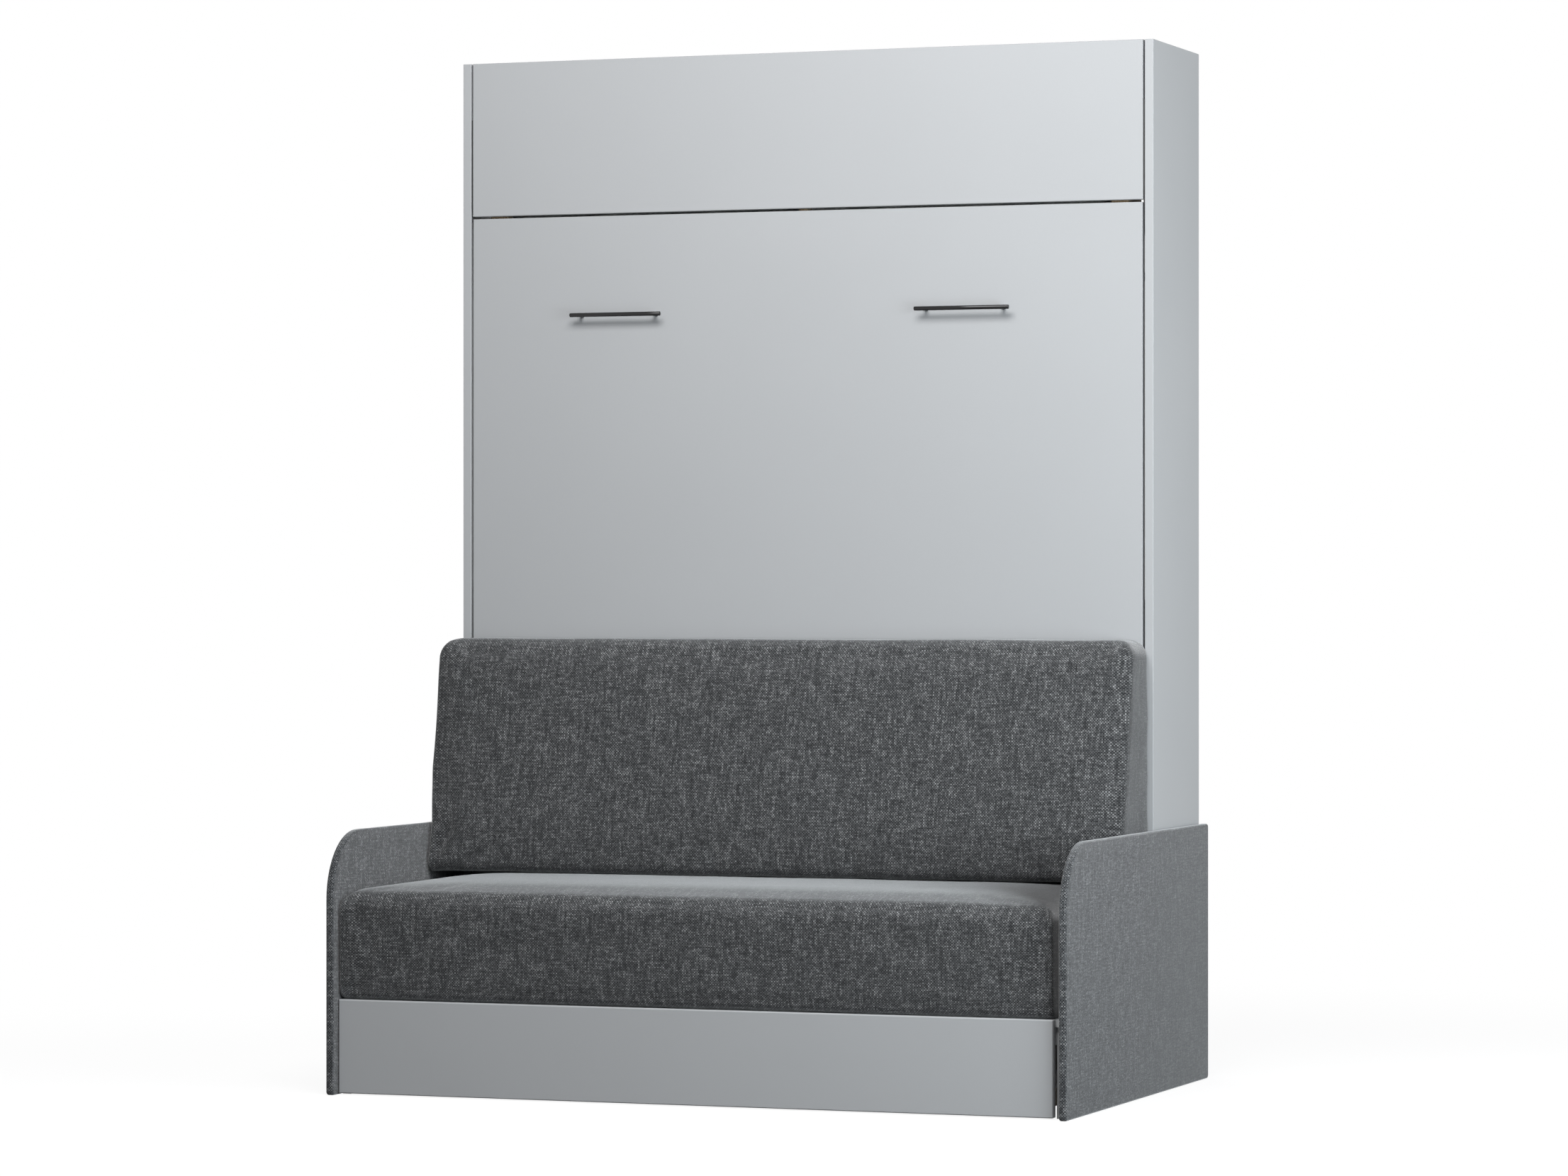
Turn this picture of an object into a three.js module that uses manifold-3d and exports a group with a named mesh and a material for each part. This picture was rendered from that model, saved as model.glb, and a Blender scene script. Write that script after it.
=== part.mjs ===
// A vertical wall bed with a sofa in front of it, built as separate solids in millimetres.
// X runs to the right, Y towards the wall and Z up. The origin is on the floor, under the middle
// of the whole part. Inside the functions, Y is counted from the front plane of the cabinet.

import * as THREE from 'three';
import { mergeVertices } from 'three/addons/utils/BufferGeometryUtils.js';
import Module from 'manifold-3d';

const wasm = await Module();
wasm.setup();

// Clearances
const fit = 0.3;                     // between pieces that seat on each other
const weld = 0.003;                  // points closer than this are one point
const overrun = 5;                   // how far a cutting tool runs past the wall that it cuts
const swing_gap = 4;                 // between the swinging fronts and the fixed boards behind

// Cabinet
const cab_width = 1560;
const cab_height = 2183;
const cab_depth = 342;
const wall_gap = 11.3;               // free space between the cabinet's back and the wall
const side_board = 18.5;
const board_edge = 1;                // broken edge of a visible board
const front_rail = { board: 18, height: 185 };
const back_rail = { board: 18, height: 120, top_gap: 4, middle_z: 900, low_z: 20 };
const wall_bracket = { steel: 3, width: 60, shelf_leg: 103.3, wall_leg: 74.2, inset: 61.5 };
const bumper = { r: 6, inset: 161.5 };

// Fronts
const front_board = 18;
const side_gap = 5;                  // between the door and the cabinet's sides
const seam_gap = 5.5;                // between the door and the leg panel above it
const leg_panel_height = 332;
const door_bottom = 195;

// Bed frame, slats and mattress
const frame_board = 18;
const frame_height = 91.7;           // of a rail, measured away from the door
const frame_bottom = 205;
const frame_top_gap = 33;            // from the frame's top to the cabinet's top
const spring_lane = 40;              // free lane for the gas springs beside the frame
const mattress_side_gap = 3.5;
const mattress_end_gap = 4.5;
const mattress_thickness = 150;
const mattress_round = 34;
const mattress_crown = 3;
const slat = { count: 14, width: 60, thick: 8, let_in: 1, end_margin: 60 };
const ledge = { width: 20, height: 31 };
const centre_beam_width = 18;
const strap = { band: 50, thick: 1.5, head_share: 0.27, foot_share: 0.73 };

// Bed pivot
const pivot_y = 30;
const pivot_z = 482;
const pivot_pin_r = 7;
const pivot_boss_r = 10.5;
const pivot_plate = { steel: 4, before: 24, behind: 90, up: 78, down: 62, corner: 10 };
const bracket = { steel: 4, up: 78, around_stud: 22, behind_stud: 19, corner: 8 };

// Support leg at the foot of the bed
const leg_axis_y = 40;
const leg_floor_gap = 1;
const leg_arm = { steel: 3, round: 16, inset: 2, width: 32, bend: 19, lap: 209 };
const leg_pin_r = 5;
const leg_pin_collar_r = 9;
const leg_pin_end_gap = 0.6;

// Gas springs
const spring_head = { y: 200, z: 1100 };
const spring_foot = { back: 60, down: 220 };      // from the bed pivot
const spring_inset = 19.5;           // from the cabinet side's inner face to the spring's axis
const spring_tube = { r: 11, bore_r: 9, neck_r: 6, length: 430, neck: 14, cap: 14 };
const spring_rod = { r: 5, piston_r: 8.6, piston_length: 22, reserve: 20 };
const spring_eye = { r: 12, width: 10.4 };
const spring_socket_r = 9;
const spring_stud = { r: 5, flange_r: 30, flange: 3 };

// Pull handles
const handle_length = 208.6;
const handle_r = 4.5;
const handle_reach = 25;
const handle_post_spacing = 171.3;
const handle_drop = 213.5;           // from the door's upper edge down to the handles
const handle_spacing = 783.1;
const handle_shift = -22.75;         // of the pair, from the middle of the door
const handle_end_round = 1.2;

// Sofa
const arm_gap = 1.7;                 // between the cabinet's side and the arm
const arm_board = 16.3;
const arm_height = 542.6;
const arm_corner = 140;
const arm_small_corner = 8;
const arm_edge = 1.5;
const arm_lead = 23;                 // of the arms before the drawer's face
const base_board = 18;
const base_reach = 611;              // from the cabinet's front plane to the front of the base
const deck_board = 15.3;
const deck_top = 196.3;
const deck_rail_height = 35.7;

// Drawer under the seat
const drawer_front_gap = 8;          // between the base and the drawer's front before it
const drawer_front_board = 18;
const drawer_front_edge = 2;
const drawer_front_bottom = 3;
const drawer_front_left_gap = 2.2;   // to the left arm
const drawer_front_right_gap = 18;   // to the right arm
const drawer_board = 15;
const drawer_bottom_board = 8;
const drawer_length = 540;
const drawer_floor = 22;
const drawer_wall = 118;
const runner = { z: 60, height: 35, length: 540, steel: 1.2, depth: 12.8, lip: 9.8, set_back: 18.7 };

// Cushions
const seat = { left_gap: 4.7, right_gap: 17.7, set_back: 3, back_gap: 6, edge_top: 420 };
const seat_form = { round: 34, crown: 19.5, bulge: 6, draw_in: 5 };
const back = { left_gap: 9.7, right_gap: 15.2, height: 500 };
const back_form = { round: 32, top_depth: 112, bottom_depth: 212, crown: 8, draw_in: 6 };
const edge_steps = 2;

// Places shared by several pieces
const wall_y = cab_depth + wall_gap;
const side_inner = cab_width / 2 - side_board;
const under_top = cab_height - side_board;
const door_half = side_inner - side_gap;
const leg_panel_bottom = cab_height - leg_panel_height;
const door_top = leg_panel_bottom - seam_gap;
const handle_z = door_top - handle_drop;
const frame_half = side_inner - spring_lane;
const frame_inner = frame_half - frame_board;
const frame_front = front_board + fit;
const frame_back = frame_front + frame_height;
const frame_top = cab_height - frame_top_gap;
const ledge_back = frame_front + fit + ledge.height;
const slat_back = ledge_back - slat.let_in + slat.thick;
const mattress_front = slat_back + fit;
const mattress_low = frame_bottom + frame_board + mattress_end_gap;
const mattress_high = frame_top - frame_board - mattress_end_gap;
const bracket_outer = frame_half + fit + bracket.steel;
const bed_underside = pivot_z - pivot_y;
const leg_axis_z = cab_height - bed_underside - leg_axis_y + leg_floor_gap;
const leg_arm_outer = side_inner - (side_gap - leg_arm.steel - fit) / 2;
const leg_arm_inner = leg_arm_outer - leg_arm.steel;
const spring_x = side_inner - spring_inset;
const spring_foot_y = pivot_y + spring_foot.back;
const spring_foot_z = pivot_z - spring_foot.down;
const arm_inner = cab_width / 2 + arm_gap;
const base_outer = arm_inner - fit;
const base_inner = base_outer - base_board;
const deck_bottom = deck_top - deck_board;
const base_top = deck_bottom - fit;
const drawer_front_back = -base_reach - drawer_front_gap;
const drawer_face = drawer_front_back - drawer_front_board;
const sofa_reach = arm_lead - drawer_face;
const drawer_half = base_inner - fit - runner.depth;
const seat_top = seat.edge_top + seat_form.crown;

// Finishes
function finish(color, roughness, metalness = 0) {
  return new THREE.MeshStandardMaterial({ color, roughness, metalness });
}
const grey_board = finish(0xc2c6ca, 0.5);
const frame_wood = finish(0xcfc4ae, 0.7);
const slat_wood = finish(0xd9b98a, 0.6);
const dark_linen = finish(0x4a4c4e, 0.95);
const arm_linen = finish(0x6b6f72, 0.95);
const ticking = finish(0xe9e8e4, 0.9);
const webbing = finish(0x3a3b3d, 0.8);
const rubber = finish(0x202122, 0.9);
const chrome = finish(0xd8dadc, 0.12, 1);
const zinc = finish(0x9fa3a6, 0.4, 1);
const black_steel = finish(0x1d1e20, 0.45, 0.6);

const part = new THREE.Group();
const middle_shift = (sofa_reach - wall_y) / 2;

function place(name, geometry, material) {
  const mesh = new THREE.Mesh(geometry, material);
  mesh.name = name;
  mesh.position.y = middle_shift;
  part.add(mesh);
}

// A box between two places on each axis
function box(x, y, z) {
  const geometry = new THREE.BoxGeometry(x[1] - x[0], y[1] - y[0], z[1] - z[0]);
  return geometry.translate((x[0] + x[1]) / 2, (y[0] + y[1]) / 2, (z[0] + z[1]) / 2);
}

// A shape given depth, with its rims broken by a small bevel where edge isn't zero
function extruded(shape, depth, edge, curve_steps) {
  const geometry = new THREE.ExtrudeGeometry(shape, {
    depth: depth - 2 * edge,
    bevelEnabled: edge > 0,
    bevelThickness: edge,
    bevelSize: edge,
    bevelOffset: -edge,
    bevelSegments: 1,
    curveSegments: curve_steps,
  });
  return geometry.translate(0, 0, edge);
}

// An outline in the YZ plane, given thickness between two X places
function sideways(outline, x, edge = 0, curve_steps = 3) {
  const geometry = extruded(outline, x[1] - x[0], edge, curve_steps);
  geometry.applyMatrix4(new THREE.Matrix4().makeBasis(
    new THREE.Vector3(0, 1, 0), new THREE.Vector3(0, 0, 1), new THREE.Vector3(1, 0, 0)));
  return geometry.translate(x[0], 0, 0);
}

// A rectangle with a radius for each corner, from the low near one anticlockwise
function rounded(low, high, radii) {
  const [a, b, c, d] = radii;
  const shape = new THREE.Shape();
  shape.moveTo(low[0] + a, low[1]);
  shape.lineTo(high[0] - b, low[1]);
  shape.absarc(high[0] - b, low[1] + b, b, -Math.PI / 2, 0, false);
  shape.lineTo(high[0], high[1] - c);
  shape.absarc(high[0] - c, high[1] - c, c, 0, Math.PI / 2, false);
  shape.lineTo(low[0] + d, high[1]);
  shape.absarc(low[0] + d, high[1] - d, d, Math.PI / 2, Math.PI, false);
  shape.lineTo(low[0], low[1] + a);
  shape.absarc(low[0] + a, low[1] + a, a, Math.PI, 1.5 * Math.PI, false);
  return shape;
}

// A board thin along Y, with broken edges all round
function front_piece(x, y, z, edge) {
  const outline = rounded([x[0], z[0]], [x[1], z[1]], [edge, edge, edge, edge]);
  const geometry = extruded(outline, y[1] - y[0], edge, 1);
  geometry.rotateX(Math.PI / 2);
  return geometry.translate(0, y[1], 0);
}

// A piece turned about an axis along X, from places given as [radius, place along X]
function turned(profile, y, z, sides = 16) {
  const points = profile.map(([radius, along]) => new THREE.Vector2(radius, along));
  const geometry = new THREE.LatheGeometry(points, sides);
  geometry.rotateZ(-Math.PI / 2);
  return geometry.translate(0, y, z);
}

function rod(radius, x, y, z, sides = 16) {
  return turned([[0, x[0]], [radius, x[0]], [radius, x[1]], [0, x[1]]], y, z, sides);
}

// Joins and cuts between closed geometries
function solid(geometry) {
  const bare = geometry.clone();
  bare.deleteAttribute('normal');
  bare.deleteAttribute('uv');
  const merged = mergeVertices(bare, weld);
  return new wasm.Manifold(new wasm.Mesh({
    numProp: 3,
    vertProperties: new Float32Array(merged.attributes.position.array),
    triVerts: new Uint32Array(merged.index.array),
  }));
}

function geometry_of(manifold) {
  const mesh = manifold.getMesh();
  const geometry = new THREE.BufferGeometry();
  geometry.setAttribute('position', new THREE.BufferAttribute(mesh.vertProperties, mesh.numProp));
  geometry.setIndex(new THREE.BufferAttribute(mesh.triVerts, 1));
  return geometry;
}

function joined(...pieces) {
  return geometry_of(pieces.map(solid).reduce((whole, piece) => whole.add(piece)));
}

function cut(geometry, tool) {
  return geometry_of(solid(geometry).subtract(solid(tool)));
}

// Pieces that come in pairs are drawn on the right and mirrored for the left
const sides = [['left', -1], ['right', 1]];

function mirrored(geometry, hand) {
  if (hand > 0) return geometry;
  const flipped = mergeVertices(geometry);
  flipped.scale(-1, 1, 1);
  const index = flipped.index.array;
  for (let i = 0; i < index.length; i += 3) {
    [index[i], index[i + 1]] = [index[i + 1], index[i]];
  }
  return flipped;
}

function pair(name, build, material) {
  sides.forEach(([side, hand]) => {
    place(`${name}_${side}`, mirrored(build(), hand), material);
  });
}

// Cabinet boards
function side_panel() {
  const outline = rounded([0, 0], [cab_depth, cab_height], Array(4).fill(board_edge));
  return sideways(outline, [side_inner, cab_width / 2], board_edge, 1);
}

function cabinet() {
  const across = [-side_inner + fit, side_inner - fit];
  const at_back = [cab_depth - back_rail.board, cab_depth];
  const back_rail_at = (low) => box(across, at_back, [low, low + back_rail.height]);
  pair('side_panel', side_panel, grey_board);
  place('top_panel', front_piece(across, [front_board + swing_gap, cab_depth],
    [under_top, cab_height], board_edge), grey_board);
  place('front_rail', box(across, [0, front_rail.board], [0, front_rail.height]), grey_board);
  place('back_rail_low', back_rail_at(back_rail.low_z), grey_board);
  place('back_rail_middle', back_rail_at(back_rail.middle_z), grey_board);
  place('back_rail_top',
    back_rail_at(under_top - back_rail.top_gap - back_rail.height), grey_board);
  pair('wall_bracket', wall_angle, zinc);
  pair('closing_bumper', closing_bumper, rubber);
}

// Steel angle screwed under the top panel, with its other leg flat on the wall
function wall_angle() {
  const top = under_top - fit;
  const outline = new THREE.Shape();
  outline.moveTo(wall_y, top);
  outline.lineTo(wall_y - wall_bracket.shelf_leg, top);
  outline.lineTo(wall_y - wall_bracket.shelf_leg, top - wall_bracket.steel);
  outline.lineTo(wall_y - wall_bracket.steel, top - wall_bracket.steel);
  outline.lineTo(wall_y - wall_bracket.steel, top - wall_bracket.wall_leg);
  outline.lineTo(wall_y, top - wall_bracket.wall_leg);
  outline.closePath();
  const outer = side_inner - wall_bracket.inset;
  return sideways(outline, [outer - wall_bracket.width, outer]);
}

// Rubber button between the leg panel and the top panel's front edge
function closing_bumper() {
  const thick = swing_gap - 2 * fit;
  const button = new THREE.CylinderGeometry(bumper.r, bumper.r, thick, 16);
  return button.translate(side_inner - bumper.inset, front_board + fit + thick / 2,
    under_top + side_board / 2);
}

// Plate on the cabinet side with the pin that the bed turns on
function pivot_hardware() {
  const outer = side_inner - fit;
  const inner = outer - pivot_plate.steel;
  const outline = rounded(
    [pivot_y - pivot_plate.before, pivot_z - pivot_plate.down],
    [pivot_y + pivot_plate.behind, pivot_z + pivot_plate.up],
    Array(4).fill(pivot_plate.corner));
  const pin = turned([
    [0, frame_half + fit],
    [pivot_pin_r, frame_half + fit],
    [pivot_pin_r, bracket_outer + fit],
    [pivot_boss_r, bracket_outer + fit],
    [pivot_boss_r, inner + pivot_plate.steel / 2],
    [0, inner + pivot_plate.steel / 2],
  ], pivot_y, pivot_z, 24);
  return joined(sideways(outline, [inner, outer]), pin);
}

// Plate on the bed frame, with a hole for the pin and a stud for the gas spring
function bed_bracket() {
  const inner = frame_half + fit;
  const outline = rounded(
    [frame_front + fit, spring_foot_z - bracket.around_stud],
    [spring_foot_y + bracket.behind_stud, pivot_z + bracket.up],
    Array(4).fill(bracket.corner));
  const plate = sideways(outline, [inner, bracket_outer]);
  const hole = rod(pivot_pin_r + fit, [inner - overrun, bracket_outer + overrun],
    pivot_y, pivot_z, 24);
  const stud = rod(spring_stud.r,
    [bracket_outer - bracket.steel / 2, spring_x - spring_eye.width / 2 - fit],
    spring_foot_y, spring_foot_z);
  return joined(cut(plate, hole), stud);
}

// Gas springs. Each is turned straight down from its upper eye, then swung to its line.
const spring_long = Math.hypot(spring_foot_y - spring_head.y, spring_foot_z - spring_head.z);
const spring_lean = Math.atan2(spring_foot_y - spring_head.y, spring_head.z - spring_foot_z);

function hung(geometry) {
  geometry.rotateX(spring_lean);
  return geometry.translate(spring_x, spring_head.y, spring_head.z);
}

function turned_down(profile) {
  const points = profile.map(([radius, down]) => new THREE.Vector2(radius, -down)).reverse();
  return new THREE.LatheGeometry(points, 16).rotateX(Math.PI / 2);
}

const spring_tube_end = spring_eye.r + spring_tube.neck + spring_tube.length;

function gas_tube() {
  const shoulder = spring_eye.r + spring_tube.neck;
  const tube = turned_down([
    [0, spring_stud.r],
    [spring_tube.neck_r, spring_stud.r],
    [spring_tube.neck_r, spring_eye.r],
    [spring_tube.r, shoulder],
    [spring_tube.r, spring_tube_end],
    [spring_rod.r + fit, spring_tube_end],
    [spring_rod.r + fit, spring_tube_end - spring_tube.cap],
    [spring_tube.bore_r, spring_tube_end - spring_tube.cap],
    [spring_tube.bore_r, shoulder + spring_tube.cap],
    [0, shoulder + spring_tube.cap],
  ]);
  const half = spring_eye.width / 2;
  const eye = rod(spring_eye.r, [-half, half], 0, 0, 24);
  const hole = rod(spring_stud.r + fit, [-half - overrun, half + overrun], 0, 0, 24);
  return hung(cut(joined(tube, eye), hole));
}

function gas_rod() {
  const piston_low = spring_tube_end - spring_tube.cap - spring_rod.reserve;
  const piston_high = piston_low - spring_rod.piston_length;
  const shaft = turned_down([
    [0, piston_high],
    [spring_rod.piston_r, piston_high],
    [spring_rod.piston_r, piston_low],
    [spring_rod.r, piston_low],
    [spring_rod.r, spring_long],
    [0, spring_long],
  ]);
  const half = spring_eye.width / 2;
  return hung(joined(shaft, rod(spring_socket_r, [-half, half], 0, -spring_long, 24)));
}

function gas_stud() {
  const outer = side_inner - fit;
  return turned([
    [0, spring_x - spring_eye.width / 2],
    [spring_stud.r, spring_x - spring_eye.width / 2],
    [spring_stud.r, outer - spring_stud.flange],
    [spring_stud.flange_r, outer - spring_stud.flange],
    [spring_stud.flange_r, outer],
    [0, outer],
  ], spring_head.y, spring_head.z, 24);
}

// Door and the frame on its back
function bed_frame() {
  const rail_y = [frame_front, frame_back];
  const between = [-frame_inner + fit, frame_inner - fit];
  place('door_panel', front_piece([-door_half, door_half], [0, front_board],
    [door_bottom, door_top], board_edge), grey_board);
  pair('side_rail', () => box([frame_inner, frame_half], rail_y, [frame_bottom, frame_top]),
    frame_wood);
  place('head_rail', box(between, rail_y, [frame_bottom, frame_bottom + frame_board]), frame_wood);
  place('foot_rail', box(between, rail_y, [frame_top - frame_board, frame_top]), frame_wood);
}

// Two ledges along the side rails, with the slats glued across them, and a beam in the middle
function slat_base() {
  const along = [frame_bottom + frame_board + fit, frame_top - frame_board - fit];
  const ledge_y = [frame_front + fit, ledge_back];
  const half = frame_inner - fit;
  const pieces = [
    box([-half, -half + ledge.width], ledge_y, along),
    box([half - ledge.width, half], ledge_y, along),
  ];
  const first = along[0] + slat.end_margin;
  const pitch = (along[1] - along[0] - 2 * slat.end_margin) / (slat.count - 1);
  const slat_y = [slat_back - slat.thick, slat_back];
  for (let i = 0; i < slat.count; i += 1) {
    const low = first + i * pitch - slat.width / 2;
    pieces.push(box([-half, half], slat_y, [low, low + slat.width]));
  }
  place('slat_base', joined(...pieces), slat_wood);
  place('centre_beam', box([-centre_beam_width / 2, centre_beam_width / 2],
    [ledge_y[0], slat_y[0] - fit], along), frame_wood);
}

// Places of the grid lines across a soft block: an arc's steps at both ends, even ones between
function grid_lines(half, round, core_steps) {
  const core = half - round;
  const arc = (i) => round * Math.tan((i / edge_steps) * (Math.PI / 4));
  const lines = [];
  for (let i = edge_steps; i > 0; i -= 1) lines.push(-core - arc(i));
  for (let i = 0; i <= core_steps; i += 1) lines.push((2 * i / core_steps - 1) * core);
  for (let i = 1; i <= edge_steps; i += 1) lines.push(core + arc(i));
  return lines;
}

// A block with round edges, centred on zero. form(core, u, v, w) moves the core point that a
// surface point is held from, and u, v and w run from -1 to 1 over width, depth and height.
function soft_block(size, round, core_steps, form) {
  const half = size.map((length) => length / 2);
  const lines = half.map((h, axis) => grid_lines(h, round, core_steps[axis]));
  const cells = lines.map((line) => line.length - 1);
  const geometry = new THREE.BoxGeometry(1, 1, 1, ...cells);
  const position = geometry.attributes.position;
  for (let i = 0; i < position.count; i += 1) {
    const unit = new THREE.Vector3().fromBufferAttribute(position, i).toArray();
    const spot = unit.map((share, axis) => lines[axis][Math.round((share + 1 / 2) * cells[axis])]);
    const held = spot.map((at, axis) => THREE.MathUtils.clamp(
      at, round - half[axis], half[axis] - round));
    const core = new THREE.Vector3(...held);
    const out = new THREE.Vector3(...spot).sub(core).setLength(round);
    const [u, v, w] = spot.map((at, axis) => at / half[axis]);
    form(core, u, v, w);
    position.setXYZ(i, core.x + out.x, core.y + out.y, core.z + out.z);
  }
  return geometry;
}

// One over most of a face, falling to zero at its rim
function crowned(u, v) {
  return (1 - u ** 4) * (1 - v ** 4);
}

// How far a side is drawn in between its corners: all of it at the middle, none at the corners
function drawn_in(v, w) {
  return (1 - v * v) * (1 - w * w);
}

function mattress() {
  const size = [
    2 * (frame_inner - mattress_side_gap),
    mattress_thickness - mattress_crown,
    mattress_high - mattress_low,
  ];
  const geometry = soft_block(size, mattress_round, [8, 2, 10], (core, u, v, w) => {
    if (v > 0) core.y += mattress_crown * crowned(u, w) * v;
  });
  return geometry.translate(0, mattress_front + size[1] / 2, (mattress_low + mattress_high) / 2);
}

// A webbing band over the mattress, with its ends down between the mattress and the rails
function mattress_strap(share) {
  const inside = frame_inner - mattress_side_gap + fit;
  const top = mattress_front + mattress_thickness + fit;
  const arc_x = inside - mattress_round;
  const arc_y = top - mattress_round;
  const outer_round = mattress_round + strap.thick;
  const outline = new THREE.Shape();
  outline.moveTo(-inside - strap.thick, mattress_front);
  outline.lineTo(-inside, mattress_front);
  outline.absarc(-arc_x, arc_y, mattress_round, Math.PI, Math.PI / 2, true);
  outline.absarc(arc_x, arc_y, mattress_round, Math.PI / 2, 0, true);
  outline.lineTo(inside, mattress_front);
  outline.lineTo(inside + strap.thick, mattress_front);
  outline.absarc(arc_x, arc_y, outer_round, 0, Math.PI / 2, false);
  outline.absarc(-arc_x, arc_y, outer_round, Math.PI / 2, Math.PI, false);
  outline.closePath();
  const middle = THREE.MathUtils.lerp(mattress_low, mattress_high, share);
  return extruded(outline, strap.band, 0, 6).translate(0, 0, middle - strap.band / 2);
}

// Round bar held off the door by two round posts
function pull_handle(centre) {
  const half = handle_length / 2;
  const bar = turned([
    [0, -half],
    [handle_r - handle_end_round, -half],
    [handle_r, -half + handle_end_round],
    [handle_r, half - handle_end_round],
    [handle_r - handle_end_round, half],
    [0, half],
  ], -handle_reach, handle_z);
  const posts = [-1, 1].map((end) => {
    const post = new THREE.CylinderGeometry(handle_r, handle_r, handle_reach - fit, 16);
    return post.translate(end * handle_post_spacing / 2, -(handle_reach + fit) / 2, handle_z);
  });
  return joined(bar, ...posts).translate(centre, 0, 0);
}

// Support leg: the panel over the door swings down on two steel arms and meets the floor
function leg_side_arm() {
  const axis_front = leg_axis_y - leg_arm.round;
  const axis_back = leg_axis_y + leg_arm.round;
  const bend_z = leg_panel_bottom + leg_arm.bend;
  const top_z = leg_panel_bottom + leg_arm.lap;
  const outline = new THREE.Shape();
  outline.moveTo(leg_arm.inset, bend_z);
  outline.lineTo(axis_front, leg_axis_z);
  outline.absarc(leg_axis_y, leg_axis_z, leg_arm.round, Math.PI, 2 * Math.PI, false);
  outline.lineTo(axis_back, leg_axis_z);
  outline.lineTo(leg_arm.inset + leg_arm.width, top_z);
  outline.lineTo(leg_arm.inset, top_z);
  outline.closePath();
  const hole = new THREE.Path();
  hole.absarc(leg_axis_y, leg_axis_z, leg_pin_r + fit, 0, 2 * Math.PI, true);
  outline.holes.push(hole);
  return sideways(outline, [leg_arm_inner, leg_arm_outer], 0, 10);
}

function leg_pin() {
  return turned([
    [0, frame_half + fit],
    [leg_pin_collar_r, frame_half + fit],
    [leg_pin_collar_r, leg_arm_inner - fit],
    [leg_pin_r, leg_arm_inner - fit],
    [leg_pin_r, side_inner - leg_pin_end_gap],
    [0, side_inner - leg_pin_end_gap],
  ], leg_axis_y, leg_axis_z);
}

function support_leg() {
  const half = leg_arm_inner - fit;
  place('leg_panel', front_piece([-half, half], [0, front_board],
    [leg_panel_bottom, cab_height], board_edge), grey_board);
  pair('leg_arm', leg_side_arm, zinc);
  pair('leg_pin', leg_pin, zinc);
}

// Sofa: two thin upholstered arms, a plywood base and a deck under the seat cushion
function sofa_arm() {
  const outline = rounded([-sofa_reach, 0], [wall_y, arm_height],
    [arm_small_corner, arm_small_corner, arm_small_corner, arm_corner]);
  return sideways(outline, [arm_inner, arm_inner + arm_board], arm_edge, 12);
}

function sofa_base() {
  const between = [-base_inner + fit, base_inner - fit];
  const deck_y = [drawer_front_back + fit, -fit];
  pair('sofa_arm', sofa_arm, arm_linen);
  pair('base_side', () => box([base_inner, base_outer], [-base_reach, -fit], [0, base_top]),
    frame_wood);
  place('base_back', box(between, [-base_board - fit, -fit], [0, base_top]), frame_wood);
  place('deck_rail', box(between, [-base_reach, -base_reach + base_board],
    [base_top - deck_rail_height, base_top]), frame_wood);
  place('seat_deck', box([-base_outer, base_outer], deck_y, [deck_bottom, deck_top]), frame_wood);
}

// Drawer under the seat. Its front is the panel below the cushion.
function drawer() {
  const front_x = [-arm_inner + drawer_front_left_gap, arm_inner - drawer_front_right_gap];
  const box_front = drawer_front_back + fit;
  const box_back = box_front + drawer_length;
  const wall_z = [drawer_floor, drawer_floor + drawer_wall];
  const inside = drawer_half - drawer_board - fit;
  place('drawer_front', front_piece(front_x, [drawer_face, drawer_front_back],
    [drawer_front_bottom, deck_top], drawer_front_edge), grey_board);
  pair('drawer_side', () => box([drawer_half - drawer_board, drawer_half],
    [box_front, box_back], wall_z), frame_wood);
  place('drawer_back', box([-inside, inside], [box_back - drawer_board, box_back], wall_z),
    frame_wood);
  place('drawer_bottom', box([-inside, inside], [box_front, box_back - drawer_board - fit],
    [drawer_floor, drawer_floor + drawer_bottom_board]), frame_wood);
}

// A steel channel on the base side, and the bar on the drawer that slides in it
const runner_outer = base_inner - fit;
const runner_y = [drawer_front_back + runner.set_back, drawer_front_back + runner.set_back + runner.length];

function runner_channel() {
  const lip = runner_outer - runner.lip;
  const web = runner_outer - runner.steel;
  const high = runner.z + runner.height;
  const outline = new THREE.Shape();
  outline.moveTo(lip, runner.z);
  outline.lineTo(runner_outer, runner.z);
  outline.lineTo(runner_outer, high);
  outline.lineTo(lip, high);
  outline.lineTo(lip, high - runner.steel);
  outline.lineTo(web, high - runner.steel);
  outline.lineTo(web, runner.z + runner.steel);
  outline.lineTo(lip, runner.z + runner.steel);
  outline.closePath();
  const channel = extruded(outline, runner.length, 0, 1);
  channel.rotateX(Math.PI / 2);
  return channel.translate(0, runner_y[1], 0);
}

function runner_bar() {
  return box([drawer_half + fit, runner_outer - runner.steel - fit], runner_y,
    [runner.z + runner.steel + fit, runner.z + runner.height - runner.steel - fit]);
}

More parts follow.
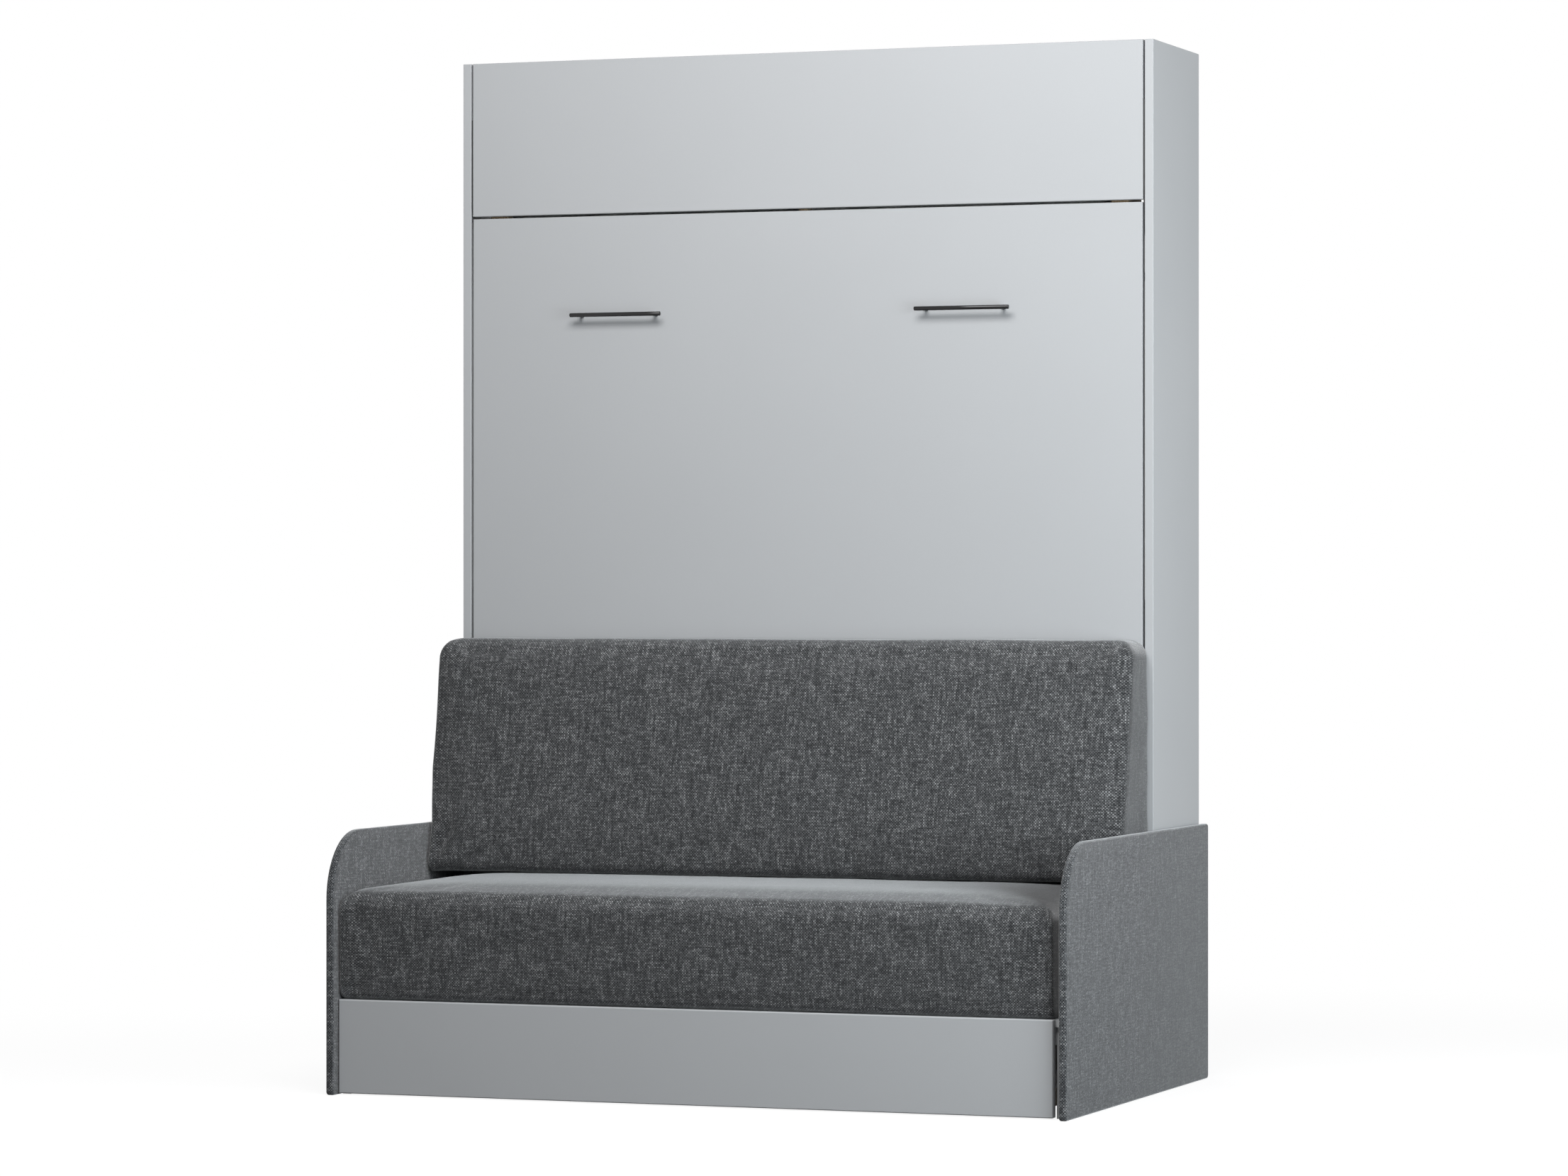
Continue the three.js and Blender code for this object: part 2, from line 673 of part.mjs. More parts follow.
// Seat cushion: a crowned top, a soft front and sides drawn in between their corners
function seat_cushion() {
  const x = [-arm_inner + seat.left_gap, arm_inner - seat.right_gap];
  const y = [drawer_face + seat.set_back, -seat.back_gap];
  const z = [deck_top + fit, seat.edge_top];
  const size = [x[1] - x[0], y[1] - y[0], z[1] - z[0]];
  const form = (core, u, v, w) => {
    core.z += seat_form.crown * crowned(u * u, v) * (w + 1) / 2;
    core.x -= Math.sign(u) * seat_form.draw_in * drawn_in(v, w) * Math.abs(u);
    if (v < 0) core.y += seat_form.bulge * (1 - drawn_in(u * u, w)) * Math.abs(v);
  };
  const geometry = soft_block(size, seat_form.round, [12, 5, 3], form);
  return geometry.translate((x[0] + x[1]) / 2, (y[0] + y[1]) / 2, (z[0] + z[1]) / 2);
}

// Back cushion: a wedge with a flat back and a crowned, leaning front
function back_cushion() {
  const x = [-arm_inner + back.left_gap, arm_inner - back.right_gap];
  const low = seat_top + fit;
  const size = [x[1] - x[0], back_form.bottom_depth, back.height];
  const core_depth = size[1] - 2 * back_form.round;
  const form = (core, u, v, w) => {
    const front_share = 1 / 2 - core.y / core_depth;
    const full_depth = THREE.MathUtils.lerp(size[1], back_form.top_depth, (w + 1) / 2);
    const sunk = back_form.crown * (1 - crowned(u * u, w));
    core.y = core_depth / 2 - front_share * (full_depth - 2 * back_form.round - sunk);
    core.x -= Math.sign(u) * back_form.draw_in * drawn_in(2 * front_share - 1, w) * Math.abs(u);
  };
  const geometry = soft_block(size, back_form.round, [12, 3, 6], form);
  return geometry.translate((x[0] + x[1]) / 2, -fit - size[1] / 2, low + size[2] / 2);
}

cabinet();
pair('pivot_plate', pivot_hardware, zinc);
pair('bed_bracket', bed_bracket, black_steel);
pair('spring_tube', gas_tube, black_steel);
pair('spring_rod', gas_rod, chrome);
pair('spring_stud', gas_stud, zinc);
bed_frame();
slat_base();
place('mattress', mattress(), ticking);
place('mattress_strap_head', mattress_strap(strap.head_share), webbing);
place('mattress_strap_foot', mattress_strap(strap.foot_share), webbing);
place('pull_handle_left', pull_handle(handle_shift - handle_spacing / 2), chrome);
place('pull_handle_right', pull_handle(handle_shift + handle_spacing / 2), chrome);
support_leg();
sofa_base();
drawer();
pair('runner_channel', runner_channel, zinc);
pair('runner_bar', runner_bar, zinc);
place('seat_cushion', seat_cushion(), dark_linen);
place('back_cushion', back_cushion(), dark_linen);

export default part;
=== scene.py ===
"""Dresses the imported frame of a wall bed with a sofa: boards, fittings, mattress and cushions."""

import math

import bmesh
import bpy
from bpy.props import FloatProperty, FloatVectorProperty, IntProperty, PointerProperty
from mathutils import Matrix, Vector, noise


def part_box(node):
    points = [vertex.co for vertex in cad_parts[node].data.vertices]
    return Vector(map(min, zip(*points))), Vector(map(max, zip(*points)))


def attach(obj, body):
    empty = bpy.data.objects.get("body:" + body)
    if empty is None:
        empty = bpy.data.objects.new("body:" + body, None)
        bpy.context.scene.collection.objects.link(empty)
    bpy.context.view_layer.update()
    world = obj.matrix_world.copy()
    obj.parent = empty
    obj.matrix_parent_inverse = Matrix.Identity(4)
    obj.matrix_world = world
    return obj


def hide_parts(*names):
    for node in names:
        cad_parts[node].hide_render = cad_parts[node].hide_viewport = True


bl_info = {
    "name": "Wall bed with sofa",
    "version": (1, 0, 0),
    "blender": (4, 5, 0),
    "location": "3D View > Sidebar > Wall bed",
    "description": "Finishes the boards, fittings, mattress and cushions of a wall bed",
    "category": "Add Mesh",
}

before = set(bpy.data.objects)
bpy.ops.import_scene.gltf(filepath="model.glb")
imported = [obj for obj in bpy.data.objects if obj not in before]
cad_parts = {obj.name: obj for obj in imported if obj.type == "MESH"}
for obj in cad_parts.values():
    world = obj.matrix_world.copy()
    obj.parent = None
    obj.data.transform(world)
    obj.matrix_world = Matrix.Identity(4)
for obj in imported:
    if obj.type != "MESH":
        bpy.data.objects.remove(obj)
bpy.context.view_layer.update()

MM = 0.001
WHITE = (1.0, 1.0, 1.0)
HANDS = {"left": -1, "right": 1}     # with each hand's direction along X
FIT = 0.3 * MM                       # between pieces that seat on each other
SOFT_STEP = 12 * MM                  # distance between a cushion's points
ROUND_ANGLES = 4                     # points over half of a soft rounded edge
PIVOT_PLATE = 4 * MM                 # thicknesses
BED_BRACKET = 4 * MM
WALL_BRACKET = 3 * MM
STUD_FLANGE = 3 * MM
STUD_RING = 21 * MM                  # radius of the ring of screws around a stud
BRACKET_ROW = 16 * MM                # from a wall bracket's middle to its screws
BRACKET_FOOT = 22 * MM               # from a wall bracket's lower end to its lowest screws
THREAD_PITCH = 2.9 * MM              # of the upholstery cloth
HANDLE_POSTS = 171.3 * MM            # between the middles of a handle's posts
ARM_CORNERS = (140 * MM, 8 * MM)     # radius at the upper front and at the other corners

# Where pieces of cover lie in the cut cloth, in metres
CUSHION_ENDS = (3.3, 7.1)
ARM_EDGE, ARM_RIGHT_FACE = 2.0, 5.0

# Screws as shares of a plate's box in Y and in Z
PLATE_SCREWS = [(0.1, 0.08), (0.1, 0.92), (0.62, 0.08), (0.62, 0.92), (0.92, 0.2),
                (0.92, 0.5), (0.92, 0.8)]
BED_BRACKET_SCREWS = [(0.12, 0.04), (0.88, 0.24), (0.12, 0.3), (0.88, 0.5), (0.12, 0.56),
                      (0.88, 0.97), (0.12, 0.97)]

# Folds on a cushion's front: the middle (along, up) from its lower left corner in metres, the
# direction in degrees, then length, width and depth in metres
SEAT_FOLDS = [
    ((0.05, 0.06), 62, 0.13, 0.012, 0.0053),
    ((0.11, 0.09), 48, 0.16, 0.016, 0.0042),
    ((0.2, 0.12), 38, 0.2, 0.02, 0.0036),
    ((0.33, 0.1), 24, 0.24, 0.022, 0.003),
    ((0.5, 0.13), 12, 0.26, 0.024, 0.0021),
    ((0.04, 0.17), 118, 0.1, 0.014, 0.0033),
    ((1.42, 0.08), 128, 0.14, 0.016, 0.003),
    ((1.2, 0.14), 165, 0.22, 0.022, 0.0018),
]
BACK_FOLDS = [
    ((0.03, 0.06), 70, 0.12, 0.014, 0.006),
    ((0.1, 0.03), 30, 0.12, 0.014, 0.0045),
    ((0.38, 0.02), 96, 0.06, 0.018, 0.0045),
    ((0.66, 0.02), 84, 0.05, 0.02, 0.0039),
    ((0.97, 0.02), 92, 0.06, 0.018, 0.0045),
    ((1.3, 0.03), 100, 0.07, 0.02, 0.0039),
    ((1.47, 0.07), 118, 0.12, 0.016, 0.0045),
    ((0.06, 0.43), 128, 0.12, 0.014, 0.003),
    ((1.46, 0.43), 52, 0.12, 0.014, 0.003),
]

# How a cushion's cloth behaves while air fills it, and for how long
CLOTH = {"quality": 6, "mass": 0.3, "tension_stiffness": 14, "compression_stiffness": 14,
         "shear_stiffness": 6, "bending_stiffness": 0.8, "use_pressure": True,
         "uniform_pressure_force": 4.0, "vertex_group_mass": "held"}
PUFF_FRAMES = 20
END_SHARE = 0.2                      # of a move along X that is kept


# Node trees

def combining(operation, turned=False):
    """A method of Signal that adds a Math node. Turned, the signal is its second value."""
    def combine(self, *others):
        values = (*others, self) if turned else (self, *others)
        return self.graph.node("ShaderNodeMath", {"operation": operation},
                               dict(enumerate(values)))
    return combine


class Signal:
    """A socket's value. Sums and products with it add the Math nodes that they need."""
    __add__ = __radd__ = combining("ADD")
    __sub__ = combining("SUBTRACT")
    __rsub__ = combining("SUBTRACT", turned=True)
    __mul__ = __rmul__ = combining("MULTIPLY")
    __truediv__ = combining("DIVIDE")
    __mod__ = combining("FLOORED_MODULO")
    __pow__ = combining("POWER")
    __gt__ = combining("GREATER_THAN")
    floor = combining("FLOOR")
    fraction = combining("FRACT")
    size = combining("ABSOLUTE")
    most = combining("MAXIMUM")

    def __init__(self, graph, socket):
        self.graph = graph
        self.socket = socket

    def ramp(self, low, high, start=0.0, end=1.0, kind="LINEAR"):
        """From start to end as the value goes from low to high, held outside."""
        return self.graph.node("ShaderNodeMapRange",
                               {"clamp": True, "interpolation_type": kind},
                               {0: self, 1: low, 2: high, 3: start, 4: end})

    def smooth(self, low, high):
        return self.ramp(low, high, kind="SMOOTHSTEP")


class Graph:
    """Adds nodes to one node tree, with their settings first and then their sockets."""

    def __init__(self, tree):
        self.tree = tree

    def node(self, kind, settings=None, inputs=None, output=0):
        made = self.tree.nodes.new(kind)
        for name, value in (settings or {}).items():
            setattr(made, name, value)
        for key, value in (inputs or {}).items():
            self.feed(made.inputs[key], value)
        return Signal(self, made.outputs[output])

    def feed(self, socket, value):
        if isinstance(value, Signal):
            self.tree.links.new(value.socket, socket)
        else:
            socket.default_value = value

    def end(self, kind, value):
        """Adds the tree's last node."""
        self.feed(self.tree.nodes.new(kind).inputs[0], value)

    def other(self, signal, output):
        """Another output of the node that a signal comes from."""
        return Signal(self, signal.socket.node.outputs[output])


class Finish(Graph):
    """A material around one Principled shader."""

    def __init__(self, name, **constants):
        self.material = bpy.data.materials.new(name)
        self.material.use_nodes = True
        super().__init__(self.material.node_tree)
        self.tree.nodes.clear()
        self.surface = self.node("ShaderNodeBsdfPrincipled")
        for key, value in constants.items():
            self.set(key.replace("_", " "), value)

    def set(self, key, value):
        self.feed(self.surface.socket.node.inputs[key], value)

    def done(self, colour, roughness, height, strength, distance):
        """The material, once its colour, its roughness and its relief are set."""
        self.set("Base Color", colour)
        self.set("Roughness", roughness)
        self.set("Normal", self.node("ShaderNodeBump", inputs={
            "Height": height, "Strength": strength, "Distance": distance}))
        self.end("ShaderNodeOutputMaterial", self.surface)
        return self.material

    def place(self):
        """Object coordinates, as a vector and as three numbers."""
        spot = self.node("ShaderNodeTexCoord", output="Object")
        return spot, self.parts(spot)

    def facing(self):
        """The surface's direction in the object's own axes, as three numbers."""
        return self.parts(self.node("ShaderNodeTexCoord", output="Normal"))

    def sheet(self):
        """Places in the cut cloth, in metres."""
        return self.parts(self.node("ShaderNodeUVMap", {"uv_map": "cloth"}))[:2]

    def parts(self, vector):
        x = self.node("ShaderNodeSeparateXYZ", inputs={0: vector})
        return x, self.other(x, 1), self.other(x, 2)

    def vector(self, x, y, z=0.0):
        return self.node("ShaderNodeCombineXYZ", inputs={0: x, 1: y, 2: z})

    def noise(self, vector, scale, detail=2.0, roughness=0.5):
        return self.node("ShaderNodeTexNoise", {"noise_dimensions": "3D"},
                         {"Vector": vector, "Scale": scale, "Detail": detail,
                          "Roughness": roughness})

    def blend(self, factor, first, second):
        first, second = (colour if isinstance(colour, Signal) else (*colour, 1.0)
                         for colour in (first, second))
        return self.node("ShaderNodeMix", {"data_type": "RGBA"},
                         {0: factor, 6: first, 7: second}, output=2)


# Finishes

def shaded(colour, factor):
    return [min(1.0, part * factor) for part in colour]


def board_finish(name, colour):
    """Melamine board: an even colour with the faint pebbled texture of its press plate."""
    made = Finish(name, Specular_IOR_Level=0.35)
    spot, _ = made.place()
    cloud = made.noise(spot, 3.1, 3.0)
    speck = made.noise(spot, 420.0, 2.0, 0.6)
    tone = made.blend(cloud * 0.55 + speck * 0.45, shaded(colour, 0.965),
                      shaded(colour, 1.03))
    return made.done(tone, cloud.ramp(0.3, 0.7, 0.4, 0.48), speck, 0.12, 0.0004)


def plywood_finish(name, across, along):
    """Birch plywood. across is the axis through its layers and along the axis of its grain."""
    made = Finish(name, Specular_IOR_Level=0.3)
    _, axes = made.place()
    on_face = made.facing()[across].size() > 0.7
    grain_at = made.vector(*[axes[i] * (2.4 if i == along else 38.0) for i in range(3)])
    grain = made.noise(grain_at, 1.0, 5.0, 0.62)
    figure = made.noise(grain_at, 0.21, 2.0)
    face = made.blend(grain.smooth(0.32, 0.72), (0.47, 0.35, 0.215), (0.66, 0.54, 0.38))
    face = made.blend(figure.smooth(0.4, 0.75) * 0.45, face, (0.72, 0.6, 0.44))
    layer = (axes[across] / (1.45 * MM)).floor() % 2.0
    edge = made.blend(layer, (0.27, 0.175, 0.1), (0.62, 0.48, 0.32))
    edge = made.blend(grain.smooth(0.35, 0.8) * 0.35, edge, (0.4, 0.28, 0.17))
    return made.done(made.blend(on_face, edge, face), grain.ramp(0.3, 0.7, 0.5, 0.66),
                     grain + layer * 0.25, 0.25, 0.0006)


def beech_finish(name):
    """Laminated beech slat: short dark flecks in a pinkish ground."""
    made = Finish(name, Specular_IOR_Level=0.45)
    _, (x, y, z) = made.place()
    grain = made.noise(made.vector(x * 3.0, y * 60.0, z * 60.0), 1.0, 4.0, 0.55)
    fleck = made.noise(made.vector(x * 70.0, y * 500.0, z * 420.0), 1.0, 1.0)
    ground = made.blend(grain.smooth(0.3, 0.7), (0.56, 0.35, 0.19), (0.75, 0.53, 0.33))
    wood = made.blend(fleck.smooth(0.62, 0.72) * 0.5, ground, (0.3, 0.15, 0.07))
    return made.done(wood, grain.ramp(0.3, 0.7, 0.34, 0.46), grain, 0.15, 0.0004)


def steel_finish(name, colour, roughness, spangle=0.0):
    """Metal with a fine rolled texture, and crystal patches where it is galvanised."""
    made = Finish(name, Metallic=1.0)
    spot, (x, y, z) = made.place()
    rolled = made.noise(made.vector(x * 90.0, y * 90.0, z * 9.0), 8.0, 3.0, 0.6)
    crystal = made.node("ShaderNodeTexVoronoi", {"feature": "F1"},
                        {"Vector": spot, "Scale": 130.0}, output="Color")
    tone = rolled * 0.35 + made.parts(crystal)[0] * spangle
    return made.done(made.blend(tone, shaded(colour, 0.72), shaded(colour, 1.12)),
                     tone.ramp(0.0, 1.0, roughness * 0.8, roughness * 1.3),
                     rolled, 0.08, 0.0003)


def powder_finish(name, colour):
    """Baked powder paint with its fine orange peel."""
    made = Finish(name, Specular_IOR_Level=0.5)
    spot, _ = made.place()
    peel = made.noise(spot, 620.0, 2.0, 0.5)
    cloud = made.noise(spot, 14.0, 3.0)
    tone = made.blend(cloud, shaded(colour, 0.8), shaded(colour, 1.25))
    return made.done(tone, peel.ramp(0.3, 0.7, 0.36, 0.5), peel, 0.3, 0.0004)


def grit_finish(name, dark, light, scale, detail, coarse, dull, **constants):
    """A finish of one fine grain. dull is its range of roughness."""
    made = Finish(name, **constants)
    grit = made.noise(made.place()[0], scale, detail, coarse)
    return made.done(made.blend(grit, dark, light), grit.ramp(0.3, 0.7, *dull),
                     grit, 0.3, 0.0003)


def rubber_finish(name):
    return grit_finish(name, (0.014, 0.014, 0.015), (0.035, 0.035, 0.037), 900.0, 3.0, 0.7,
                       (0.75, 0.92), Specular_IOR_Level=0.35)


def stitch_finish(name, colour):
    return grit_finish(name, shaded(colour, 0.6), colour, 1600.0, 2.0, 0.5, (0.6, 0.85),
                       Specular_IOR_Level=0.3, Sheen_Weight=0.2)


def woven(made, u, v, pitch):
    """A plain weave.

    Gives the threads' height and tone, which thread is on top, and each knot's own tone.
    """
    across, up = u / pitch, v / pitch
    warp_no, weft_no = across.floor(), up.floor()
    over = (warp_no + weft_no) % 2.0
    under = 1.0 - over
    warp_round, weft_round = (1.0 - (place.fraction() * 2.0 - 1.0) ** 2.0
                              for place in (across, up))
    height = (warp_round * (0.6 + weft_round * 0.4)) * under
    height = height + (weft_round * (0.6 + warp_round * 0.4)) * over
    warp_tone = made.noise(made.vector(warp_no * 7.31, v * 34.0), 1.0, 2.0, 0.6)
    weft_tone = made.noise(made.vector(u * 34.0, weft_no * 5.17, 4.7), 1.0, 2.0, 0.6)
    tone = warp_tone * under + weft_tone * over
    knot = made.node("ShaderNodeTexWhiteNoise", {"noise_dimensions": "2D"},
                     {"Vector": made.vector(warp_no, weft_no)})
    return height, tone, over, knot


def cloth_finish(name, dark, mid, light):
    """Melange upholstery cloth: pale knots of the warp on a darker weft, in short streaks."""
    made = Finish(name, Specular_IOR_Level=0.1, Sheen_Weight=0.86, Sheen_Roughness=0.42,
                  Sheen_Tint=(0.985, 0.99, 1.0, 1.0))
    u, v = made.sheet()
    wander = made.noise(made.vector(u * 7.0, v * 7.0, 1.3), 1.0, 2.0) * 0.006
    height, tone, over, knot = woven(made, u + wander, v + wander, THREAD_PITCH)
    warp_streak = made.noise(made.vector(u * 250.0, v * 26.0, 5.5), 1.0, 2.0, 0.65)
    weft_streak = made.noise(made.vector(u * 26.0, v * 290.0, 9.1), 1.0, 2.0, 0.65)
    streak = warp_streak + weft_streak
    amount = streak * 0.44 + tone * 0.26 + knot * 0.22 - over * 0.22
    thread = made.blend(amount.smooth(0.36, 0.7), dark, mid)
    thread = made.blend(amount.smooth(0.64, 0.95), thread, light)
    # The gaps between the threads get a near-black colour: painted shade in the weave's hollows.
    # The threads' tones are their own colour.
    cloth = made.blend((height + 0.12).ramp(0.0, 0.6), shaded(dark, 0.3), thread)
    return made.done(cloth, tone.ramp(0.3, 0.7, 0.82, 0.97), height * 0.6 + streak * 0.6,
                     0.25, THREAD_PITCH * 0.3)


def ticking_finish(name):
    """White knitted mattress cover with a soft rib, and a faint sheen."""
    made = Finish(name, Specular_IOR_Level=0.2, Sheen_Weight=0.35, Sheen_Roughness=0.5)
    u, v = made.sheet()
    height, tone, _, _ = woven(made, u, v, 1.6 * MM)
    cloud = made.noise(made.vector(u * 9.0, v * 9.0, 2.0), 1.0, 3.0)
    ground = made.blend(tone * 0.5 + cloud * 0.5, (0.66, 0.66, 0.645), (0.84, 0.84, 0.825))
    # Darker where the rib sinks: painted shade in its grooves, over the cover's own white.
    return made.done(made.blend(height.ramp(0.0, 0.5), (0.5, 0.5, 0.49), ground),
                     tone.ramp(0.3, 0.7, 0.85, 0.95), height, 0.4, 0.0004)


def webbing_finish(name):
    """Polyester webbing."""
    made = Finish(name, Specular_IOR_Level=0.3, Sheen_Weight=0.2)
    height, tone, _, _ = woven(made, *made.sheet(), 1.9 * MM)
    # Darker where the weave sinks, times the threads' own tone: painted shade in the hollows and
    # real tone together.
    band = made.blend(height * tone.ramp(0.3, 0.7, 0.4, 1.0), (0.012, 0.012, 0.014),
                      (0.085, 0.087, 0.092))
    return made.done(band, tone.ramp(0.3, 0.7, 0.6, 0.8), height, 0.6, 0.0005)


FINISHES = {}


def finish_for(key):
    """Each finish is made once, when the first piece asks for it."""
    if key not in FINISHES:
        colours = bpy.context.scene.wall_bed_colours
        dark, fleck = colours.cloth_dark, colours.cloth_fleck
        make, *values = {
            "board": (board_finish, "grey_melamine", colours.board),
            "inner_board": (board_finish, "inner_melamine", colours.inner_board),
            "ply_x_z": (plywood_finish, "plywood_upright", 0, 2),
            "ply_z_x": (plywood_finish, "plywood_flat", 2, 0),
            "ply_y_x": (plywood_finish, "plywood_standing", 1, 0),
            "ply_x_y": (plywood_finish, "plywood_side", 0, 1),
            "beech": (beech_finish, "beech_lamella"),
            "cloth": (cloth_finish, "dark_melange", dark, colours.cloth, fleck),
            # The arms use the cushions' cloth made lighter: painted light for their brightly lit,
            # grazing sides.
            "arm_cloth": (cloth_finish, "arm_melange", dark, colours.arm_cloth, fleck),
            "ticking": (ticking_finish, "white_ticking"),
            "webbing": (webbing_finish, "black_webbing"),
            "rubber": (rubber_finish, "black_rubber"),
            # The pulls are chrome given a near-black colour: painted dark reflection of the room in
            # front, with the top light's highlight on it.
            "handle": (steel_finish, "polished_black_chrome", (0.05, 0.05, 0.051), 0.07),
            "chrome": (steel_finish, "hard_chrome", (0.72, 0.73, 0.74), 0.09),
            "zinc": (steel_finish, "bright_zinc", (0.56, 0.58, 0.6), 0.32, 0.5),
            "black_steel": (powder_finish, "black_powder", (0.02, 0.02, 0.021)),
            "plastic": (powder_finish, "grey_plastic", (0.2, 0.2, 0.21)),
            "stitch": (stitch_finish, "white_stitching", (0.7, 0.7, 0.68)),
        }[key]
        FINISHES[key] = make(*values)
    return FINISHES[key]


def dress(key, *names):
    """Gives carried-over frame nodes their finish."""
    for name in names:
        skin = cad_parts[name].data.materials
        if len(skin) == 0:
            skin.append(finish_for(key))
        for slot in range(len(skin)):
            skin[slot] = finish_for(key)


def both(name):
    return [f"{name}_{hand}" for hand in HANDS]


def outer(box, side):
    """The X of a box's face on one side."""
    return box[1].x if side > 0 else box[0].x


# Meshes

def linked(made):
    bpy.context.scene.collection.objects.link(made)
    return made


def new_piece(name, mesh, key, body, slot, replaced=(), smooth=True):
    """A finished piece at the origin that rides on a body and stands for frame nodes."""
    piece = linked(bpy.data.objects.new(name, mesh))
    mesh.materials.clear()
    mesh.materials.append(finish_for(key))
    for polygon in mesh.polygons:
        polygon.use_smooth = smooth
    if replaced:
        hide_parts(*replaced)
    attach(piece, body)
    return piece


def mesh_of(name, points, faces, sheet=None):
    """A mesh from points and faces, and a cloth map from one place for each face corner."""
    mesh = bpy.data.meshes.new(name)
    mesh.from_pydata([tuple(point) for point in points], [], faces)
    if sheet:
        layer = mesh.uv_layers.new(name="cloth")
        for corner, place in enumerate(sheet):
            layer.data[corner].uv = place
    mesh.update()
    return mesh


def remade(name, base, kind, settings, inputs=None):
    """The mesh that a modifier makes of a base mesh, which is then removed."""
    trial = linked(bpy.data.objects.new(name + "_trial", base))
    modifier = trial.modifiers.new("trial", kind)
    for key, value in settings.items():
        setattr(modifier, key, value)
    for key, value in (inputs or {}).items():
        modifier[key] = value
    graph = bpy.context.evaluated_depsgraph_get()
    mesh = bpy.data.meshes.new_from_object(
        trial.evaluated_get(graph), preserve_all_data_layers=True, depsgraph=graph)
    mesh.name = name
    bpy.data.objects.remove(trial)
    bpy.data.meshes.remove(base)
    return mesh


def facing_out(mesh):
    """Points all faces outwards."""
    shape = bmesh.new()
    shape.from_mesh(mesh)
    bmesh.ops.recalc_face_normals(shape, faces=shape.faces)
    shape.to_mesh(mesh)
    shape.free()
    return mesh


def skinned(name, rings, cloth=None, loop=False):
    """A closed mesh over rings of points, with both ends shut or joined into a loop.

    cloth(row, i, on_end) gives the place of a corner in the cut cloth. i runs once around a
    ring, up to and with its count.
    """
    count = len(rings[0])
    rows = len(rings) - (not loop)
    sides = [[(row, i), (row, i + 1), (row + 1, i + 1), (row + 1, i)]
             for row in range(rows) for i in range(count)]
    ends = [] if loop else [[(row, i) for i in range(count)] for row in (0, rows)]
    faces = [[row % len(rings) * count + i % count for row, i in corners]
             for corners in sides + ends]
    sheet = None
    if cloth:
        sheet = [cloth(*corner, False) for corners in sides for corner in corners]
        sheet += [cloth(*corner, True) for corners in ends for corner in corners]
    points = [point for ring in rings for point in ring]
    return facing_out(mesh_of(name, points, faces, sheet))


def arc(x, y, radius, start, turn, steps):
    """Places on a circle around (x, y), from an angle on over a turn, both in degrees."""
    angles = [math.radians(start + turn * i / steps) for i in range(steps + 1)]
    return [(x + radius * math.cos(angle), y + radius * math.sin(angle)) for angle in angles]


def circle(sides):
    return [2 * math.pi * i / sides for i in range(sides)]


def turned_profile(profile, sides=32):
    """Points and faces of a shape turned about the Z axis from (radius, height) pairs."""
    points, faces, rings = [], [], []
    for radius, height in profile:
        count = sides if radius else 1
        rings.append([len(points) + i % count for i in range(sides + 1)])
        points += [Vector((radius * math.cos(turn), radius * math.sin(turn), height))
                   for turn in circle(count)]
    for low, high in zip(rings, rings[1:]):
        for i in range(sides):
            corners = (low[i], low[i + 1], high[i + 1], high[i])
            faces.append(list(dict.fromkeys(corners)))
    return points, faces


def gathered(*parts):
    """Joins several (points, faces, matrix) parts into one list of points and of faces."""
    points, faces = [], []
    for part_points, part_faces, matrix in parts:
        start = len(points)
        points.extend(matrix @ point for point in part_points)
        faces.extend([start + number for number in face] for face in part_faces)
    return points, faces


def bevelled_boxes(name, boxes, edge, segments):
    """Boxes between pairs of corners, with their edges rounded."""
    shape = bmesh.new()
    for low, high in boxes:
        low, high = Vector(low), Vector(high)
        cube = bmesh.ops.create_cube(shape, size=1.0)["verts"]
        bmesh.ops.transform(shape, matrix=Matrix.Translation((low + high) / 2)
                            @ Matrix.Diagonal((*(high - low), 1)), verts=cube)
    bmesh.ops.bevel(shape, geom=shape.edges[:], offset=edge, segments=segments, profile=0.5,
                    affect="EDGES")
    mesh = bpy.data.meshes.new(name)
    shape.to_mesh(mesh)
    shape.free()
    return mesh


def crisp(mesh, degrees):
    """Keeps the edges sharp where two faces meet at more than an angle."""
    shape = bmesh.new()
    shape.from_mesh(mesh)
    limit = math.radians(degrees)
    for edge in shape.edges:
        edge.smooth = len(edge.link_faces) == 2 and edge.calc_face_angle(0) < limit
    shape.to_mesh(mesh)
    shape.free()


# Soft shapes

def lines_through(half, rounding, step):
    """Places along one axis of a soft block, and their distances along the cloth."""
    core = half - rounding
    count = max(2, round(2 * core / step))
    middle = [-core + 2 * core * i / count for i in range(count + 1)]
    angles = [math.radians(45) * i / ROUND_ANGLES for i in range(1, ROUND_ANGLES + 1)]
    places = [core + rounding * math.tan(angle) for angle in angles]
    along = [core + rounding * angle for angle in angles]
    return tuple([-value for value in reversed(ends)] + middle + ends
                 for ends in (places, along))


